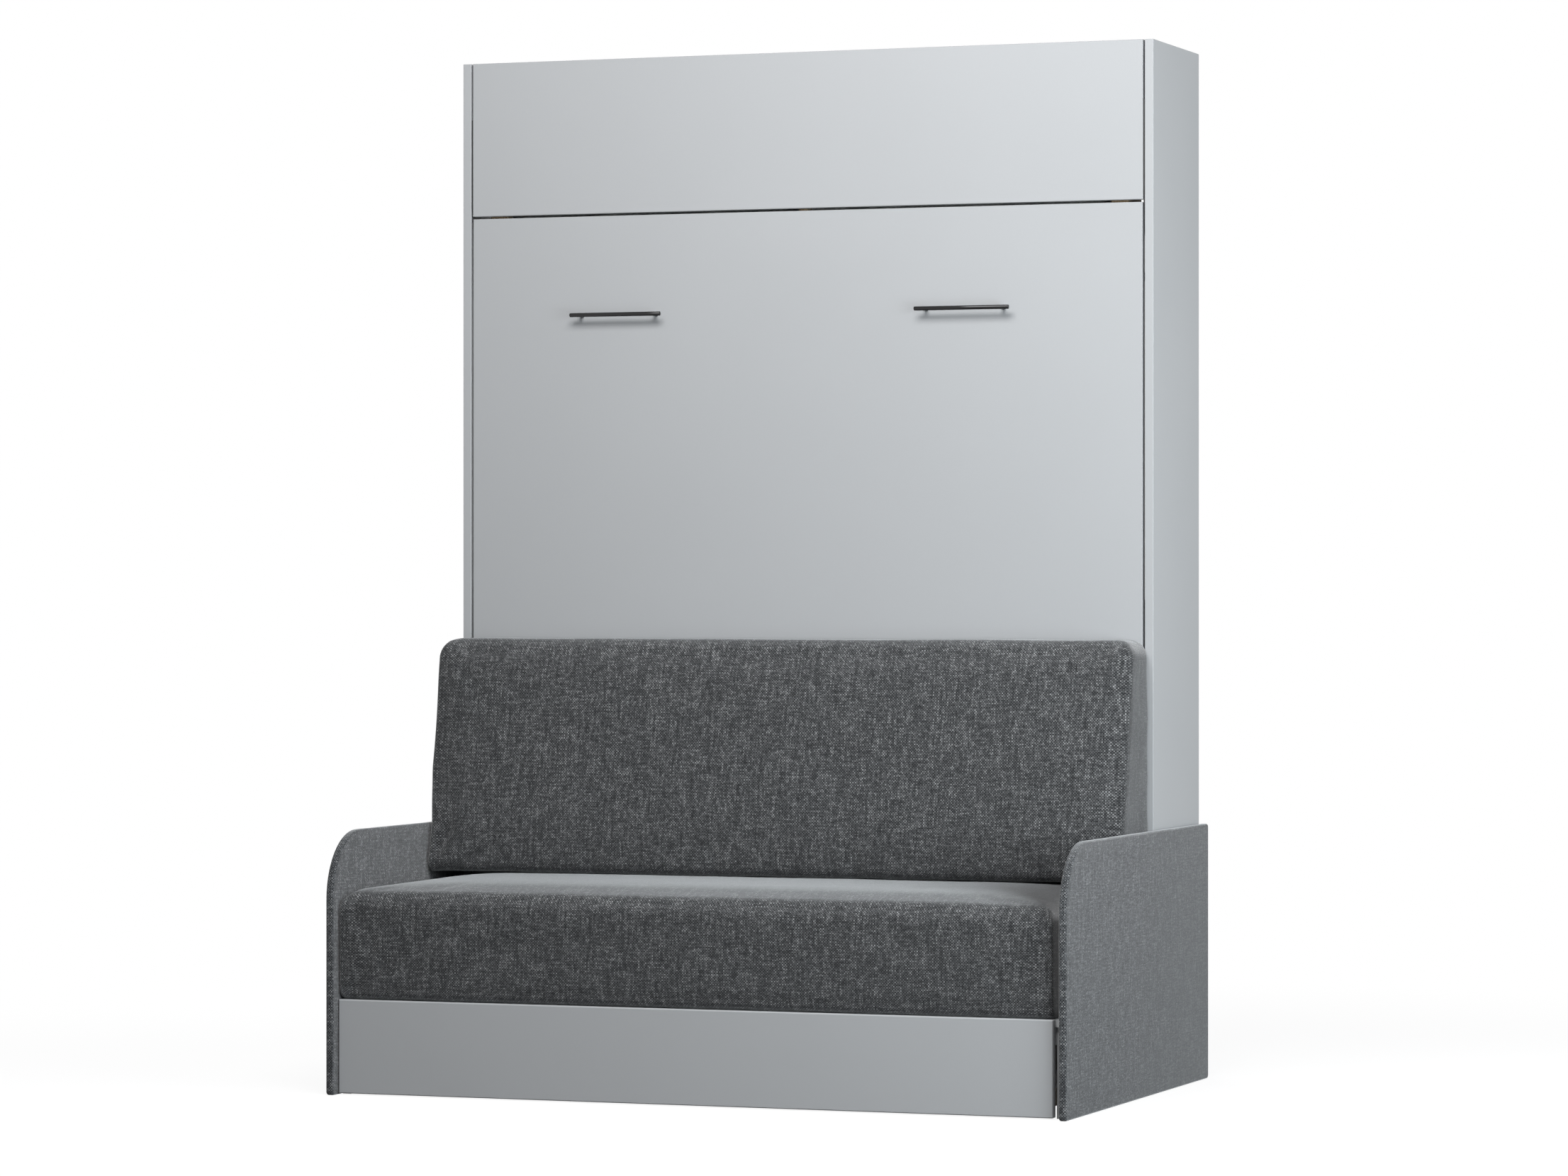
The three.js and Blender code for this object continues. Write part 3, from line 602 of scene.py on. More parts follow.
class SoftBlock:
    """A closed block of cloth with rounded edges, as a grid of four-sided faces.

    The cloth runs in one width from the bottom, up the front, over the top and down the back.
    """

    def __init__(self, size, rounding, step=SOFT_STEP):
        self.half = [length / 2 for length in size]
        self.rounding = rounding
        self.places, self.along = zip(*[lines_through(half, radius, step)
                                        for half, radius in zip(self.half, rounding)])
        self.points, self.units, self.faces, self.sheet = [], [], [], []
        self.numbers = {}
        last = [len(places) - 1 for places in self.places]
        for axis in range(3):
            for end in (0, last[axis]):
                self._side(axis, end, last)

    def _number(self, spot):
        if spot not in self.numbers:
            at = [places[i] for places, i in zip(self.places, spot)]
            inside = [half - radius for half, radius in zip(self.half, self.rounding)]
            core = [max(-limit, min(limit, place)) for limit, place in zip(inside, at)]
            out = Vector([(at[i] - core[i]) / self.rounding[i] for i in range(3)]).normalized()
            self.numbers[spot] = len(self.points)
            self.points.append((Vector(core), out * Vector(self.rounding)))
            self.units.append([place / half for place, half in zip(at, self.half)])
        return self.numbers[spot]

    def _cloth(self, axis, end, spot):
        """Where a corner lies in the cut cloth, so that the weave follows the surface."""
        x, y, z = (self.along[i][spot[i]] for i in range(3))
        deep, high = 2 * self.along[1][-1], 2 * self.along[2][-1]
        if axis == 0:
            return (y + CUSHION_ENDS[end > 0], z)
        if axis == 1:
            return (x, deep + high - z) if end else (x, z)
        return (x, high / 2 + y + deep / 2) if end else (x, -high / 2 - y - deep / 2)

    def _side(self, axis, end, last):
        first, second = [other for other in range(3) if other != axis]
        for i in range(last[first]):
            for j in range(last[second]):
                corners = []
                for step_i, step_j in ((0, 0), (1, 0), (1, 1), (0, 1)):
                    spot = [end] * 3
                    spot[first], spot[second] = i + step_i, j + step_j
                    corners.append(tuple(spot))
                if (end > 0) != (axis != 1):
                    corners.reverse()
                self.faces.append([self._number(spot) for spot in corners])
                self.sheet.extend(self._cloth(axis, end, spot) for spot in corners)

    def shaped(self, form, centre):
        """The points, after form has moved each core point, around a centre."""
        moved = []
        for (core, out), (u, v, w) in zip(self.points, self.units):
            core = core.copy()
            form(core, u, v, w)
            moved.append(core + out + centre)
        return moved


def filling(points, low, high, reach):
    """The points stretched to fill the box from low to high.

    Points nearer to a side than reach, a distance for each axis, are pressed towards it.
    """
    filled = [Vector() for point in points]
    for axis in range(3):
        start = min(point[axis] for point in points)
        end = max(point[axis] for point in points)
        length = high[axis] - low[axis]
        for place, point in zip(filled, points):
            at = (point[axis] - start) / (end - start) * length
            edge = min(at, length - at)
            if edge < reach[axis]:
                pressed = reach[axis] * (edge / reach[axis]) ** 1.5
                at = pressed if at < length / 2 else length - pressed
            place[axis] = low[axis] + at
    return filled


def rounded_off(co, low, high, top, corner):
    """Rounds the upper corners at both ends, seen along Y, with the radius corner."""
    rise = min(1.0, max(0.0, 1 - (top - co.z) / corner))
    for end, inward in ((low.x, 1), (high.x, -1)):
        near = min(1.0, max(0.0, 1 - inward * (co.x - end) / corner))
        co.x += inward * corner * near * (1 - math.sqrt(1 - rise * rise / 2))
        co.z -= corner * rise * (1 - math.sqrt(1 - near * near / 2))


def crowned(u, v):
    return (1 - u ** 4) * (1 - v ** 4)


def drawn_in(v, w):
    return (1 - v * v) * (1 - w * w)


def puffed(points, faces, cap, still):
    """Lets air pressure fill the cloth, and returns each point moved by at most cap.

    still holds the numbers of the points that don't move.
    """
    mesh = mesh_of("cloth_trial", points, faces)
    trial = linked(bpy.data.objects.new("cloth_trial", mesh))
    trial.vertex_groups.new(name="held").add(still, 1.0, "REPLACE")
    cloth = trial.modifiers.new("cloth", "CLOTH")
    for key, value in CLOTH.items():
        setattr(cloth.settings, key, value)
    cloth.settings.effector_weights.gravity = 0
    cloth.collision_settings.use_collision = False
    cloth.point_cache.frame_start = 1
    cloth.point_cache.frame_end = PUFF_FRAMES
    scene = bpy.context.scene
    for step in range(1, PUFF_FRAMES + 1):
        scene.frame_set(step)
    filled = trial.evaluated_get(bpy.context.evaluated_depsgraph_get())
    result = []
    for point, vertex in zip(points, filled.data.vertices):
        move = vertex.co - point
        if move.length > cap:
            move *= cap / move.length
        move.x *= END_SHARE
        result.append(point + move)
    scene.frame_set(1)
    bpy.data.objects.remove(trial)
    bpy.data.meshes.remove(mesh)
    return result


def smooth_cover(name, points, block):
    """The mesh of a soft block's points after one subdivision, which keeps the cloth map."""
    mesh = mesh_of(name, points, block.faces, block.sheet)
    return remade(name, mesh, "SUBSURF", {"levels": 1, "render_levels": 1})


def nudged(mesh, place_of):
    """Moves each point of a mesh to place_of(point, normal), with the normals from before."""
    spots = [(vertex.co.copy(), vertex.normal.copy()) for vertex in mesh.vertices]
    flat = []
    for point, normal in spots:
        flat.extend(place_of(point, normal))
    mesh.vertices.foreach_set("co", flat)
    mesh.update()


def cushion(node, body, block, points, corners, puff, still, reach, settled):
    """A cushion from a soft block's points: blown up, fitted between two corners, settled.

    still(unit) tells which points the air leaves where they are.
    """
    held = [i for i, unit in enumerate(block.units) if still(unit)]
    points = puffed(points, block.faces, puff, held)
    points = filling(points, *corners, reach)
    mesh = smooth_cover(node + "_cover", points, block)
    nudged(mesh, settled)
    return new_piece(node + "_cover", mesh, "cloth", body, "dark_linen", replaced=[node])


def fold(along, across, place, direction, length, width, depth):
    """How deep one soft fold in the cloth is at a place of a face, given in that face's axes."""
    turn = math.radians(direction)
    x = along - place[0]
    y = across - place[1]
    down_fold = x * math.cos(turn) + y * math.sin(turn)
    off_fold = -x * math.sin(turn) + y * math.cos(turn)
    off_fold += 0.12 * down_fold * math.sin(7 * down_fold / length)
    fade = math.exp(-(down_fold / length) ** 2 * 2)
    ridge = math.exp(-(off_fold / width) ** 2)
    ridge -= 0.5 * math.exp(-((off_fold - 1.4 * width) / width) ** 2)
    return depth * fade * ridge


def folds_at(folds, point, normal, corner):
    """How deep the listed folds are at a point, where it faces the front."""
    front = max(0.0, -normal.y)
    if front < 0.05:
        return 0.0
    along, up = point.x - corner.x, point.z - corner.z
    return front * sum(fold(along, up, *each) for each in folds)


# Geometry Nodes

def repeating_tree(name, sizes, placing):
    """A Geometry Nodes tree that sets one small shape on each of some points.

    sizes lists its own inputs: (name, socket type, default). placing(graph, entry) gives the
    points, and the turn and size of the shape on them.
    """
    tree = bpy.data.node_groups.new(name, "GeometryNodeTree")
    tree.interface.new_socket("Geometry", in_out="INPUT", socket_type="NodeSocketGeometry")
    for label, kind, default in (("Shape", "NodeSocketObject", None), *sizes,
                                 ("Material", "NodeSocketMaterial", None)):
        socket = tree.interface.new_socket(label, in_out="INPUT", socket_type=kind)
        if default is not None:
            socket.default_value = default
    tree.interface.new_socket("Geometry", in_out="OUTPUT", socket_type="NodeSocketGeometry")
    graph = Graph(tree)
    entry = graph.node("NodeGroupInput")
    shape = graph.node("GeometryNodeObjectInfo",
                       inputs={"Object": graph.other(entry, "Shape")}, output="Geometry")
    placed = graph.node("GeometryNodeInstanceOnPoints",
                        inputs={"Instance": shape, **placing(graph, entry)})
    real = graph.node("GeometryNodeRealizeInstances", inputs={0: placed})
    dressed = graph.node("GeometryNodeSetMaterial", inputs={
        0: real, "Material": graph.other(entry, "Material")})
    graph.end("NodeGroupOutput", dressed)
    return tree


def on_points(graph, entry):
    """Each point of the geometry that comes in, turned to the point's own facing."""
    facing = graph.node("GeometryNodeInputNamedAttribute", {"data_type": "FLOAT_VECTOR"},
                        {"Name": "facing"})
    turned = graph.node("FunctionNodeAlignRotationToVector", {"axis": "Z"},
                        {"Vector": facing})
    return {"Points": entry, "Rotation": turned, "Scale": graph.other(entry, "Size")}


def in_a_row(graph, entry):
    """Points from a first place on, one pitch apart."""
    row = graph.node("GeometryNodeMeshLine", {"mode": "OFFSET"}, {
        "Count": graph.other(entry, "Count"),
        "Start Location": graph.other(entry, "First"),
        "Offset": graph.other(entry, "Pitch")})
    return {"Points": row}


def grown(name, tree, base, shape, key, values):
    """The mesh that a tree makes of a base mesh, with its inputs set by name."""
    names = {item.name: item.identifier for item in tree.interface.items_tree
             if item.in_out == "INPUT"}
    values = dict(values, Shape=shape, Material=finish_for(key))
    return remade(name, base, "NODES", {"node_group": tree},
                  {names[label]: value for label, value in values.items()})


def screw_shape():
    """A pan head screw of radius one, with a six-sided socket, for a tree to repeat."""
    sides = 12
    round_ring = [1.0] * sides
    socket = [0.46, 0.46 * math.cos(math.radians(30))] * (sides // 2)
    steps = [(round_ring, 0.0), (round_ring, 0.28), ([0.86] * sides, 0.5),
             ([0.56] * sides, 0.62), (socket, 0.62), (socket, 0.22)]
    rings = [[Vector((radius * math.cos(turn), radius * math.sin(turn), height))
              for radius, turn in zip(radii, circle(sides))] for radii, height in steps]
    return linked(bpy.data.objects.new("screw_head", skinned("screw_head", rings)))


def spread(name, tree, shape, spots, size, body):
    """One piece with a zinc shape at each (place, facing)."""
    base = mesh_of(name + "_points", [place for place, _ in spots], [])
    facing = base.attributes.new("facing", "FLOAT_VECTOR", "POINT")
    for number, (_, direction) in enumerate(spots):
        facing.data[number].vector = direction
    mesh = grown(name, tree, base, shape, "zinc", {"Size": size})
    new_piece(name, mesh, "zinc", body, "zinc", smooth=False)


# Sizes and colours that a user would change

def distance_prop(name, description, default, least=0.0):
    return FloatProperty(name=name, description=description, default=default, min=least,
                         unit="LENGTH")


def power_prop(name, description, default):
    return FloatProperty(name=name, description=description, default=default, min=0,
                         unit="POWER")


def colour_prop(name, description, colour):
    return FloatVectorProperty(name=name, description=description, default=colour,
                               subtype="COLOR", size=3, min=0, max=1)


class WallBedSizes(bpy.types.PropertyGroup):
    """Sizes of the soft pieces and fittings."""
    seat_puff: distance_prop("Seat puff", "How far air may push the seat's cloth", 6 * MM)
    back_puff: distance_prop("Back puff", "How far air may push the back's cloth", 8 * MM)
    quilt_pitch: distance_prop("Quilt pitch", "Distance between the mattress's quilting lines",
                               118 * MM, 20 * MM)
    quilt_depth: distance_prop("Quilt depth", "How deep the quilting lines sink in", 5 * MM)
    slat_count: IntProperty(
        name="Slats", description="Number of slats under the mattress", default=14, min=2)
    screw_radius: distance_prop("Screw head", "Radius of a screw's head", 4.2 * MM, MM)


class WallBedColours(bpy.types.PropertyGroup):
    """Colours of the boards and cloths."""
    board: colour_prop("Board", "Colour of the visible boards", (0.49, 0.5, 0.513))
    inner_board: colour_prop("Inner board", "Colour of the boards inside", (0.53, 0.54, 0.55))
    cloth_dark: colour_prop("Cloth, dark threads", "Darkest threads", (0.024, 0.025, 0.027))
    cloth: colour_prop("Cushion cloth", "Main colour of the cushions", (0.115, 0.117, 0.121))
    # Painted light: the arms' cloth is the cushions' cloth made lighter for the light on their
    # sides.
    arm_cloth: colour_prop("Arm cloth, painted lighter", "Main colour of the arms", (0.13, 0.136, 0.144))
    cloth_fleck: colour_prop("Cloth, pale slubs", "Palest threads", (0.42, 0.425, 0.43))


class WallBedStudio(bpy.types.PropertyGroup):
    """Light in the studio."""
    top_light: power_prop("Top light", "Power of the light overhead", 88)
    front_right_light: power_prop("Front right light", "Power of the low light in front", 56)
    side_light: power_prop("Side light", "Power of the light at the right side", 28.5)
    back_light: power_prop("Back light", "Power of the light behind the left side", 60)
    room_light: FloatProperty(
        name="Room light", description="Strength of the even light from all sides",
        default=0.12, min=0)


# Pieces

class PieceOperator(bpy.types.Operator):
    """Common settings of the operators below."""
    bl_idname = "wall_bed.piece"
    bl_label = "Piece"
    bl_options = {"REGISTER", "UNDO"}


class WALLBED_OT_boards(PieceOperator):
    """Finish the cabinet's boards, the fronts, the drawer, the bed frame and the sofa's base"""
    bl_idname = "wall_bed.boards"
    bl_label = "Boards"

    def execute(self, context):
        dress("board", *both("side_panel"), "top_panel", "front_rail", "door_panel",
              "leg_panel", "drawer_front")
        dress("inner_board", "back_rail_low", "back_rail_middle", "back_rail_top",
              *both("base_side"), "base_back", "deck_rail", "seat_deck")
        dress("ply_x_z", *both("side_rail"), "centre_beam")
        dress("ply_z_x", "head_rail", "foot_rail", "drawer_bottom")
        dress("ply_x_y", *both("drawer_side"))
        dress("ply_y_x", "drawer_back")
        return {"FINISHED"}


class WALLBED_OT_fittings(PieceOperator):
    """Finish the steel, chrome and rubber fittings"""
    bl_idname = "wall_bed.fittings"
    bl_label = "Fittings"

    def execute(self, context):
        dress("zinc", *both("wall_bracket"), *both("pivot_plate"), *both("spring_stud"),
              *both("leg_pin"), *both("runner_channel"), *both("runner_bar"))
        # The leg arms are black instead of zinc: painted shade for the dark gap where they show.
        # The brackets and spring tubes are black steel.
        dress("black_steel", *both("leg_arm"), *both("bed_bracket"), *both("spring_tube"))
        dress("chrome", *both("spring_rod"))
        dress("rubber", *both("closing_bumper"))
        return {"FINISHED"}


class WALLBED_OT_screws(PieceOperator):
    """Set screw heads on the brackets and the plates"""
    bl_idname = "wall_bed.screws"
    bl_label = "Screws"

    def facing_x(self, x, direction, spots):
        return [(Vector((x, y, z)), Vector((direction, 0, 0))) for y, z in spots]

    def shared(self, box, shares):
        """Places in Y and Z, each at a share of a box."""
        low, high = box
        return [(low.y + (high.y - low.y) * y, low.z + (high.z - low.z) * z)
                for y, z in shares]

    def on_cabinet(self, hand, sign):
        """Screws of one hand's pivot plate, spring stud and wall bracket."""
        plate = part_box(f"pivot_plate_{hand}")
        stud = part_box(f"spring_stud_{hand}")
        middle = (stud[0] + stud[1]) / 2
        spots = self.facing_x(outer(plate, sign) - sign * PIVOT_PLATE, -sign,
                              self.shared(plate, PLATE_SCREWS))
        spots += self.facing_x(outer(stud, sign) - sign * STUD_FLANGE, -sign,
                               arc(middle.y, middle.z, STUD_RING, 45, 270, 3))
        low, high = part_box(f"wall_bracket_{hand}")
        for x in ((low.x + high.x) / 2 + side for side in (-BRACKET_ROW, BRACKET_ROW)):
            spots += [(Vector((x, low.y + (high.y - low.y) * share, high.z - WALL_BRACKET)),
                       Vector((0, 0, -1))) for share in (0.18, 0.6)]
            spots.append((Vector((x, high.y - WALL_BRACKET, low.z + BRACKET_FOOT)),
                          Vector((0, -1, 0))))
        return spots

    def on_bed(self, hand, sign):
        face = outer(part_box(f"side_rail_{hand}"), sign) + sign * (FIT + BED_BRACKET)
        return self.facing_x(face, sign, self.shared(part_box(f"bed_bracket_{hand}"),
                                                     BED_BRACKET_SCREWS))

    def execute(self, context):
        size = context.scene.wall_bed_sizes.screw_radius
        tree = repeating_tree("spread_over_points", [("Size", "NodeSocketFloat", 1.0)],
                              on_points)
        head = screw_shape()
        for body, screws in (("cabinet", self.on_cabinet), ("bed", self.on_bed)):
            spots = [spot for hand in HANDS.items() for spot in screws(*hand)]
            spread(body + "_screws", tree, head, spots, size, body)
        bpy.data.objects.remove(head)
        return {"FINISHED"}


class WALLBED_OT_slats(PieceOperator):
    """Make the slats with their end caps, and the ledges that carry them"""
    bl_idname = "wall_bed.slats"
    bl_label = "Slats"

    def at_end(self, box, sign, depth, low, high):
        """A box against one end of another box, from low to high in Y and Z."""
        x = outer(box, sign)
        first, last = sorted((x, x - sign * depth))
        return (first, *low), (last, *high)

    def execute(self, context):
        box = low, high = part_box("slat_base")
        count = context.scene.wall_bed_sizes.slat_count
        margin, width, thick, cap, ledge = (size * MM for size in (60, 60, 8, 34, 20))
        half = Vector((thick / 2, width / 2))
        inner = half - Vector((0.6, 1)) * MM
        tree = repeating_tree("row_of_slats", [
            ("Count", "NodeSocketInt", 14),
            ("First", "NodeSocketVector", (0.0, 0.0, 0.0)),
            ("Pitch", "NodeSocketVector", (0.0, 0.0, 0.1))], in_a_row)
        values = {"Count": count, "First": (0, high.y - thick / 2, low.z + margin),
                  "Pitch": (0, 0, (high.z - low.z - 2 * margin) / (count - 1))}
        wood = [((low.x + 2 * MM, *-inner), (high.x - 2 * MM, *inner))]
        caps = [self.at_end(box, sign, cap, -half, half) for sign in HANDS.values()]
        for name, key, slot, boxes, edge, segments in (
                ("bed_slats", "beech", "slat_wood", wood, 2 * MM, 2),
                ("slat_caps", "plastic", "rubber", caps, 1.5 * MM, 1)):
            shape = linked(bpy.data.objects.new(name + "_shape", bevelled_boxes(
                name + "_shape", boxes, edge, segments)))
            mesh = grown(name, tree, bpy.data.meshes.new(name + "_row"), shape, key, values)
            new_piece(name, mesh, key, "bed", slot, replaced=["slat_base"], smooth=False)
            bpy.data.objects.remove(shape)
        for hand, sign in HANDS.items():
            rail = self.at_end(box, sign, ledge, (low.y, low.z), (high.y - thick, high.z))
            name = f"slat_ledge_{hand}"
            new_piece(name, bevelled_boxes(name, [rail], MM, 1), "ply_x_z", "bed",
                      "frame_wood", replaced=["slat_base"], smooth=False)
        return {"FINISHED"}


class WALLBED_OT_mattress(PieceOperator):
    """Make the quilted mattress, its two tapes and the two bands that hold it"""
    bl_idname = "wall_bed.mattress"
    bl_label = "Mattress"

    def execute(self, context):
        sizes = context.scene.wall_bed_sizes
        pitch = sizes.quilt_pitch
        low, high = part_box("mattress")
        size = high - low
        rounding, crown, step = 30 * MM, 3 * MM, 19 * MM
        groove, dip, dip_fade = 9 * MM, 2.2 * MM, 28 * MM
        block = SoftBlock((size.x, size.y - crown, size.z), [rounding] * 3, step)
        centre = (low + high) / 2
        centre.y = low.y + (size.y - crown) / 2
        straps = [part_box(f"mattress_strap_{end}") for end in ("head", "foot")]

        def form(core, u, v, w):
            if v > 0:
                core.y += crown * crowned(u, w) * v

        def quilted(co, normal):
            flat = min(1.0, max(0.0, (abs(normal.y) - 0.6) / 0.35))
            lines = [(co.x + way * (co.z - centre.z)) / pitch for way in (1, -1)]
            near = min(abs(line - round(line)) for line in lines) * pitch / 1.414
            puff = sizes.quilt_depth * math.exp(-(near / groove) ** 2) * flat
            side = (1 - flat) * max(0.0, 1 - abs(normal.y) * 1.6)
            ripple = 1.4 * MM * noise.noise(Vector((co.x, 0, co.z)) * 22) * side
            for strap_low, strap_high in straps:
                off = max(strap_low.z - co.z, co.z - strap_high.z, 0.0)
                press = max(0.0, 1 - off / dip_fade)
                if co.y > centre.y - 40 * MM or abs(normal.x) > 0.5:
                    puff = puff * (1 - press) + dip * press * press
            return co - normal * (puff + abs(ripple))

        mesh = smooth_cover("mattress_cover", block.shaped(form, centre), block)
        nudged(mesh, quilted)
        mattress = new_piece("mattress_cover", mesh, "ticking", "bed", "ticking",
                             replaced=["mattress"])
        lean = rounding * (1 - math.cos(math.radians(45)))
        self.tape("mattress_tape_front", low, high, low.y + lean, lean, rounding)
        self.tape("mattress_tape_back", low, high, high.y - crown - lean, lean, rounding)
        for end in ("head", "foot"):
            self.band(f"mattress_strap_{end}")
        return {"FINISHED"}

    def tape(self, name, low, high, y, inset, corner):
        """A bound seam around one face of the mattress."""
        radius, sides = 2.6 * MM, 8
        reach = inset + corner
        path = []
        for x, z, start in ((high.x - reach, high.z - reach, 0),
                            (low.x + reach, high.z - reach, 90),
                            (low.x + reach, low.z + reach, 180),
                            (high.x - reach, low.z + reach, 270)):
            path += [Vector((x, y, z)) for x, z in arc(x, z, corner, start, 90, 8)]
        rings = []
        for i, spot in enumerate(path):
            direction = (path[(i + 1) % len(path)] - path[i - 1]).normalized()
            side = direction.cross(Vector((0, 1, 0))).normalized()
            rings.append([spot + side * (radius * math.cos(turn))
                          + Vector((0, radius * math.sin(turn), 0)) for turn in circle(sides)])
        new_piece(name, skinned(name, rings, loop=True), "stitch", "bed", "ticking",
                  replaced=["mattress"])

    def band(self, node):
        """Webbing over the mattress, following its rounded edges."""
        low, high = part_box(node)
        thick, bend, rim = 1.5 * MM, 34 * MM, 0.4 * MM
        half = (high.x - low.x) / 2 - thick
        top = high.y - thick
        inner = half - bend
        path = [(-half, low.y)] + arc(-inner, top - bend, bend, 180, -90, 10)
        path += [(-inner + 2 * inner * i / 24, top) for i in range(1, 24)]
        path += arc(inner, top - bend, bend, 90, -90, 10) + [(half, low.y)]
        path = [Vector((x, y, 0)) for x, y in path]
        across = [(low.z + rim, 0), (low.z, rim), (low.z, thick - rim), (low.z + rim, thick),
                  (high.z - rim, thick), (high.z, thick - rim), (high.z, rim),
                  (high.z - rim, 0)]
        runs, rings = [0.0], []
        for before, spot in zip(path, path[1:]):
            runs.append(runs[-1] + (spot - before).length)
        for before, spot, after in zip(path[:1] + path, path, path[1:] + path[-1:]):
            direction = (after - before).normalized()
            out = Vector((-direction.y, direction.x, 0))
            rings.append([Vector((spot.x, spot.y, z)) + out * lift for z, lift in across])

        def cloth(row, i, on_end):
            return runs[0 if on_end else row], across[i % len(across)][0]

        new_piece(node + "_band", skinned(node + "_band", rings, cloth), "webbing", "bed",
                  "webbing", replaced=[node], smooth=False)


class WALLBED_OT_handles(PieceOperator):
    """Make the two bar pulls"""
    bl_idname = "wall_bed.handles"
    bl_label = "Handles"

    def execute(self, context):
        edge = 0.9 * MM
        collar, collar_width = 0.9 * MM, 0.5 * MM
        turned = math.radians(90)
        for hand in HANDS:
            node = f"pull_handle_{hand}"
            low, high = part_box(node)
            radius = (high.z - low.z) / 2
            half = (high.x - low.x) / 2
            middle = (low + high) / 2
            middle.y = low.y + radius
            end = [(0, half), (radius - edge, half),
                   (radius - 0.3 * edge, half - 0.25 * edge), (radius, half - edge)]
            bar = turned_profile([(r, -place) for r, place in end] + [(radius, 0)]
                                 + end[::-1], 40)
            parts = [(*bar, Matrix.Translation(middle) @ Matrix.Rotation(turned, 4, "Y"))]
            reach = high.y - middle.y
            thin = radius * 0.98
            thick = thin + collar_width
            post = turned_profile([(0, 0), (thin, 0), (thin, reach - collar - 0.3 * MM),
                                   (thick, reach - collar), (thick, reach), (0, reach)])
            for side in HANDS.values():
                foot = middle + Vector((side * HANDLE_POSTS / 2, 0, 0))
                parts.append((*post, Matrix.Translation(foot)
                              @ Matrix.Rotation(-turned, 4, "X")))
            name = f"bar_pull_{hand}"
            mesh = facing_out(mesh_of(name, *gathered(*parts)))
            new_piece(name, mesh, "handle", "bed", "chrome", replaced=[node])
            crisp(mesh, 40)
        return {"FINISHED"}


class WALLBED_OT_arms(PieceOperator):
    """Make the two upholstered arms"""
    bl_idname = "wall_bed.arms"
    bl_label = "Arms"

    def execute(self, context):
        for hand in HANDS:
            node = f"sofa_arm_{hand}"
            low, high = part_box(node)
            mesh = self.plate(f"arm_{hand}", self.outline(low, high), low.x, high.x)
            new_piece(f"arm_{hand}", mesh, "arm_cloth", "cabinet", "arm_linen",
                      replaced=[node])
        return {"FINISHED"}

    def outline(self, low, high):
        """The arm's edge in (y, z), with a large round at its upper front corner."""
        large, small = ARM_CORNERS
        return (arc(high.y - small, low.z + small, small, -90, 90, 6)
                + arc(high.y - small, high.z - small, small, 0, 90, 6)
                + arc(low.y + large, high.z - large, large, 90, 90, 24)
                + arc(low.y + small, low.z + small, small, 180, 90, 6))

    def plate(self, name, outline, low_x, high_x):
        """A board wrapped in cloth: an outline in (y, z) with soft edges between two X places."""
        steps, rounding = 5, 4.2 * MM
        outline = [Vector(spot) for spot in outline]
        count = len(outline)
        normals, runs = [], [0.0]
        for i, spot in enumerate(outline):
            after = outline[(i + 1) % count]
            direction = (after - outline[i - 1]).normalized()
            normals.append(Vector((direction.y, -direction.x)))
            runs.append(runs[-1] + (after - spot).length)
        curve = []
        for i in range(steps + 1):
            turn = math.radians(90 * i / steps)
            curve.append((rounding * (1 - math.cos(turn)), rounding * (1 - math.sin(turn)),
                          rounding * (math.pi / 2 - turn)))
        flat = (high_x - low_x) - 2 * rounding
        edge = [(low_x + depth, inset, -run) for depth, inset, run in curve]
        edge += [(high_x - depth, inset, flat + run) for depth, inset, run in curve[::-1]]
        rings = [[Vector((x, spot.x - normal.x * inset, spot.y - normal.y * inset))
                  for spot, normal in zip(outline, normals)] for x, inset, _ in edge]

        def cloth(row, i, on_end):
            if on_end:
                return rings[row][i].y + ARM_RIGHT_FACE * (row > 0), rings[row][i].z
            return runs[i] + ARM_EDGE, edge[row][2]

        return skinned(name, rings, cloth)


class WALLBED_OT_seat(PieceOperator):
    """Make the seat cushion"""
    bl_idname = "wall_bed.seat"
    bl_label = "Seat cushion"

    def execute(self, context):
        low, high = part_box("seat_cushion")
        low += Vector((-4, -3, 0)) * MM
        crown, bulge, draw, corner = (size * MM for size in (19.5, 3, 3, 34))
        size = high - low - Vector((6 * MM, 6 * MM, crown + 3 * MM))
        block = SoftBlock(size, Vector((12, 30, 42)) * MM)
        centre = (low + high) / 2
        centre.z = low.z + size.z / 2

        def form(core, u, v, w):
            core.z += (crown - 2 * MM) * crowned(u * u, v) * (w + 1) / 2
            core.x -= math.copysign(draw, u) * drawn_in(v, w) * abs(u)
            if v < 0:
                core.y += bulge * (1 - drawn_in(u * u, w)) * abs(v)

        def settled(co, normal):
            dent = folds_at(SEAT_FOLDS, co, normal, low)
            swell = 1.2 * MM * noise.noise(Vector((co.x * 4.0, co.y * 5.0, 3.1)))
            soft = 0.7 * MM * noise.noise(co * 9.0)
            co = co + normal * (swell * max(0.0, normal.z) + soft - dent)
            rounded_off(co, low, high, high.z - crown, corner)
            co.x = min(high.x, max(low.x, co.x))
            co.y = min(high.y, max(low.y - 3 * MM, co.y))
            co.z = min(high.z, max(low.z, co.z))
            return co

        seat = cushion("seat_cushion", "cabinet", block, block.shaped(form, centre),
                       (low, high), context.scene.wall_bed_sizes.seat_puff,
                       lambda unit: unit[2] <= -0.99, Vector((50, 14, 8)) * MM, settled)
        return {"FINISHED"}


